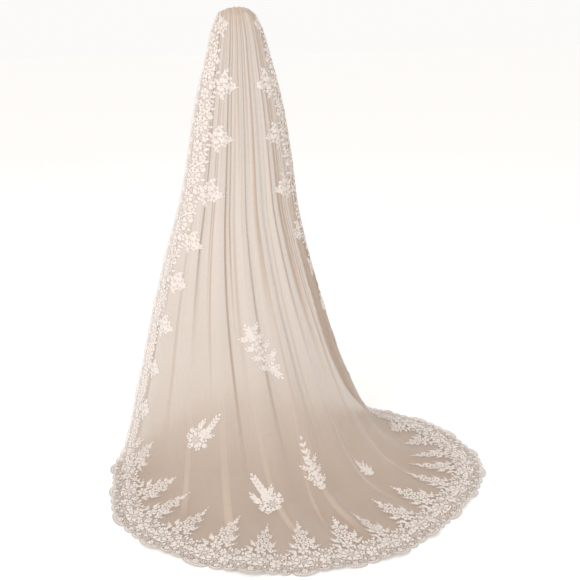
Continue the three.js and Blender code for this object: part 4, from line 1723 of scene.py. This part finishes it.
@dataclass
class LaceTrim:
    """The lace of one edge: its worked threads and the net under them."""

    form: VeilForm
    border: Border
    edge: Edge
    repeats: int
    flat: HemRepeat | SideRepeat
    thread_lift: float = 1.9
    ground_lift: float = 1.5
    # The net under the threads: faces in a repeat, rows, and how far inside the rim it starts
    ground_columns: int = 28
    ground_rows: int = 10
    ground_tuck: float = 1.2
    # Its inner edge, as a share of the band, and how far it swells along a repeat
    ground_share: float = 0.86
    ground_swells: tuple[float, float] = (0.06, 0.04)
    swell_start: float = 0.35

    def place(self, repeat: np.ndarray, x: np.ndarray, y: np.ndarray) -> tuple[np.ndarray, np.ndarray]:
        """Across and along for a spot of the flat drawing.

        Args:
            repeat: which repeat it is in, from the left corner or from the comb.
            x: millimetres along the repeat.
            y: millimetres inwards.

        Returns:
            Across and along on the cloth.
        """
        run = repeat + x / self.flat.length
        if self.edge is Edge.HEM:
            place, trim, reach = self.border.hem(run)
            inside = (np.minimum(y, self.flat.band) * trim
                      + np.maximum(y - self.flat.band, 0) * reach)
            return self.border.locate(place, np.where(y > 0, inside, y))
        share = np.clip(run / self.repeats, 0, 1)
        place, trim = self.border.side(self.edge, share)
        return self.border.locate(place, y * trim / self.flat.drawn_scale)

    def build(self, finishes: Wardrobe) -> list[bpy.types.Object]:
        """Build the threads and the ground net.

        Args:
            finishes: every finish of the scene.

        Returns:
            The pieces, threads first.
        """
        mirrored = self.edge is Edge.RIGHT
        name = f"lace_{self.edge.value}"
        pieces = []
        for part, drawing in self.flat.drawings().items():
            threads = repeated(drawing, self.repeats, f"{name}_{part}", mirrored)
            self._drape(threads, len(drawing.vertices), self.thread_lift)
            bpy.data.meshes.remove(drawing)
            pieces.append(add_piece(f"{name}_{part}", threads, finishes.thread))
            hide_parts(name)
        # The hem gets the net painted darker as shade on the floor, the side edges the paler one
        ground = finishes.ground if self.edge is Edge.HEM else finishes.side_ground
        return [*pieces, self._ground(name, ground, mirrored)]

    def _drape(self, mesh: bpy.types.Mesh, size: int, lift: float) -> None:
        """Lay copies of a drawing on the cloth, one repeat further on each.

        Args:
            mesh: the copies, one after the other.
            size: vertices in each.
            lift: height over the inner face of the cloth, in millimetres.
        """
        flat = read_points(mesh)
        repeat = np.repeat(np.arange(self.repeats), size)
        across, along = self.place(repeat, flat[:, 0], flat[:, 1])
        points, _ = self.form.lay(across, along, lift + flat[:, 2])
        write_points(mesh, points)

    def _ground(self, name: str, finish: bpy.types.Material, mirrored: bool) -> bpy.types.Object:
        """Build the net under the threads, from the scalloped edge in to the flowers.

        Args:
            name: the trim's name.
            finish: the net's finish.
            mirrored: whether its faces are turned over.

        Returns:
            The piece.
        """
        mesh, shares = grid_mesh(f"{name}_ground", self.repeats * self.ground_columns, self.ground_rows)
        run = shares[:, 0] * self.repeats
        repeat = np.minimum(run.astype(int), self.repeats - 1)
        x = (run - repeat) * self.flat.length
        outer = self.ground_tuck - np.array([out_at(self.flat.lobes, at) for at in x])
        turn = 2 * math.pi * x / self.flat.length
        long_swell, short_swell = self.ground_swells
        swell = long_swell * np.cos(turn - 2 * math.pi * self.swell_start) + short_swell * np.cos(3 * turn)
        inner = self.flat.band * (self.ground_share + swell)
        y = outer + (inner - outer) * shares[:, 1]
        across, along = self.place(repeat, x, y)
        points, _ = self.form.lay(across, along, np.full_like(x, self.ground_lift))
        write_points(mesh, points)
        write_uv(mesh, np.column_stack([run * self.flat.length, y]))
        if mirrored:
            mesh.flip_normals()
        return add_piece(f"{name}_ground", mesh, finish)


@dataclass
class SprayOnTulle:
    """A loose lace spray sewn to the net."""

    form: VeilForm
    name: str
    kind: SprayKind
    samples: int = 40
    # How far the map of the cloth runs past the stem's ends, as a share of its length, and to its sides
    overrun: float = 0.05
    half_width: float = 48.0
    width_step: float = 4.0
    lift: float = 1.7

    def build(self, finishes: Wardrobe) -> bpy.types.Object:
        """Build the spray where its solid lies.

        Args:
            finishes: every finish of the scene.

        Returns:
            The piece.
        """
        tip_across, tip_along, foot_across, foot_along, size = LOOSE_SPRAYS[self.name]
        tip, foot = np.array([tip_across, tip_along]), np.array([foot_across, foot_along])
        shares = np.linspace(-self.overrun, 1 + self.overrun, self.samples)
        stem = tip + shares[:, None] * (foot - tip)
        u, v = self.form.slopes(stem[:, 0], stem[:, 1])
        way = unit(u * (foot - tip)[0] + v * (foot - tip)[1])
        side = np.cross(way, unit(np.cross(u, v)))
        whole = 1 + 2 * self.overrun
        line = self.form.smooth(stem[:, 0], stem[:, 1])
        run = np.linalg.norm(np.diff(line, axis=0), axis=-1).sum() / whole
        cloth = ClothMap(self.form, stem, side, (-self.half_width, self.half_width), self.width_step)
        mesh = LooseSpray(self.kind, run / size).draw()
        flat = read_points(mesh)
        sample = (flat[:, 1] * size / run + self.overrun) / whole * (self.samples - 1)
        across, along = cloth.read(sample, flat[:, 0] * size)
        points, _ = self.form.lay(across, along, self.lift + flat[:, 2])
        write_points(mesh, points)
        piece = add_piece(f"{self.name}_threads", mesh, finishes.thread)
        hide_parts(self.name)
        return piece


@dataclass
class GatheringStitches:
    """The thread that gathers the net on to the comb.

    It is a zigzag along the net's top edge, and two rows of running stitches below.
    """

    form: VeilForm
    run: float = 96.0
    reach_across: float = 0.9
    depth: float = 7.0
    inset: float = 1.0
    stitches: int = 38
    zigzag_width: float = 1.1
    running_width: float = 0.9
    running_rows: tuple[float, float] = (2.5, 6.0)
    running_share: float = 0.6
    lift: float = 1.4

    def build(self, finishes: Wardrobe) -> bpy.types.Object:
        """Draw the stitches flat and lay them on the gathers.

        Args:
            finishes: every finish of the scene.

        Returns:
            The piece.
        """
        chart = LaceChart(cord_height=0.7)
        steps = np.linspace(0, self.run, 2 * self.stitches + 1)
        rise = self.depth - 2 * self.inset
        chart.cord([(x, self.inset + rise * (k % 2)) for k, x in enumerate(steps)], self.zigzag_width)
        for below in self.running_rows:
            y = self.depth + below
            for x in steps[:-1:2]:
                end = x + self.running_share * steps[2]
                chart.cord([(x, y), (end, y)], self.running_width, steps=2, taper=0.4)
        mesh = chart.finish("gathering_stitches")
        flat = read_points(mesh)
        across = (2 * flat[:, 0] / self.run - 1) * self.reach_across
        points, _ = self.form.lay(across, np.maximum(flat[:, 1], 0) / CLOTH_LENGTH, self.lift + flat[:, 2])
        write_points(mesh, points)
        return add_piece("gathering_stitches", mesh, finishes.thread)


@dataclass
class Studio:
    """A plain pale floor, soft lights and the camera."""

    floor_size: float = 60.0
    floor_drop: float = 0.0005
    floor_colour: Colour = (0.90, 0.89, 0.875)
    floor_glow: float = 0.11
    room_colour: Colour = (1.0, 0.99, 0.975)
    room_strength: float = 0.97
    # Name, place, size and power of each light
    lights: tuple = (
        ("key", (3.8, 2.6, 2.6), 2.0, 110), ("fill", (-4.6, 2.4, 1.6), 3.6, 16),
        ("front", (0.6, -4.4, 2.4), 3.4, 16),
    )
    light_aim: tuple[float, float, float] = (0.0, 0.4, -1.0)
    camera_at: tuple[float, float, float] = (1.17, 3.306, 0.03)
    camera_tilt: float = 72.42
    camera_turn: float = 157.0
    lens: float = 55.9
    sensor: float = 36.0
    view_depth: float = 200.0

    def build(self) -> None:
        """Build the floor, the lights and the camera."""
        self._floor()
        self._room()
        for name, at, size, power in self.lights:
            self._light(name, at, size, power)
        self._camera()
        bpy.context.scene.view_settings.view_transform = "Standard"

    def _floor(self) -> None:
        """Build the plain pale floor."""
        bm = bmesh.new()
        bmesh.ops.create_grid(bm, x_segments=1, y_segments=1, size=self.floor_size / 2)
        bmesh.ops.translate(bm, verts=bm.verts[:], vec=(0, 0, FLOOR_Z * MILLIMETRE - self.floor_drop))
        mesh = made_mesh(bm, "studio_floor")
        shader = Shader("studio_floor")
        shader.feed(shader.surface, {
            "Base Color": (*self.floor_colour, 1), "Roughness": 0.9, "Specular IOR Level": 0.1,
            "Emission Color": (*self.room_colour, 1), "Emission Strength": self.floor_glow,
        })
        mesh.materials.append(shader.material)
        floor = bpy.data.objects.new("studio_floor", mesh)
        bpy.context.scene.collection.objects.link(floor)

    def _room(self) -> None:
        """Light the pale, even room."""
        world = bpy.data.worlds.new("studio_room")
        world.use_nodes = True
        background = world.node_tree.nodes["Background"]
        background.inputs[0].default_value = (*self.room_colour, 1)
        background.inputs[1].default_value = self.room_strength
        bpy.context.scene.world = world

    def _light(self, name: str, at: tuple[float, float, float], size: float, power: float) -> None:
        """Add one wide soft light that looks at the middle of the veil.

        Args:
            name: its name.
            at: where it stands.
            size: its width, in metres.
            power: its power, in watts.
        """
        data = bpy.data.lights.new(name, "AREA")
        data.shape = "SQUARE"
        data.size = size
        data.energy = power
        light = bpy.data.objects.new(name, data)
        light.location = at
        aim = Vector(self.light_aim) - Vector(at)
        light.rotation_euler = aim.to_track_quat("-Z", "Y").to_euler()
        bpy.context.scene.collection.objects.link(light)

    def _camera(self) -> None:
        """Stand the camera behind the veil and to its left."""
        data = bpy.data.cameras.new("camera")
        data.lens = self.lens
        data.sensor_width = self.sensor
        data.clip_end = self.view_depth
        camera = bpy.data.objects.new("camera", data)
        camera.location = self.camera_at
        camera.rotation_euler = (math.radians(self.camera_tilt), 0.0, math.radians(self.camera_turn))
        bpy.context.scene.collection.objects.link(camera)
        bpy.context.scene.camera = camera


def main() -> None:
    """Build every piece in order, with its finish."""
    logging.basicConfig(level=logging.INFO, format="%(name)s: %(message)s")
    Studio().build()
    form = VeilForm()
    border = Border(form)
    finishes = Wardrobe.make()
    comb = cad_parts["comb"]
    comb.data.materials.clear()
    comb.data.materials.append(finishes.comb)
    tulle = TulleCloth(form, border).build(finishes.tulle)
    lace: list[bpy.types.Object] = []
    edges = ((Edge.LEFT, 10, SideRepeat()), (Edge.HEM, 17, HemRepeat()), (Edge.RIGHT, 10, SideRepeat()))
    for edge, repeats, flat in edges:
        lace += LaceTrim(form, border, edge, repeats, flat).build(finishes)
    kinds = {"spray_back": SprayKind.CLUSTER, "spray_side": SprayKind.BLOOM, "spray_train": SprayKind.BLOOM,
             "spray_long": SprayKind.SLIM, "spray_small": SprayKind.SLIM}
    for name, kind in kinds.items():
        lace.append(SprayOnTulle(form, name, kind).build(finishes))
    lace.append(GatheringStitches(form).build(finishes))
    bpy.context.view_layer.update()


if __name__ == "__main__":
    main()
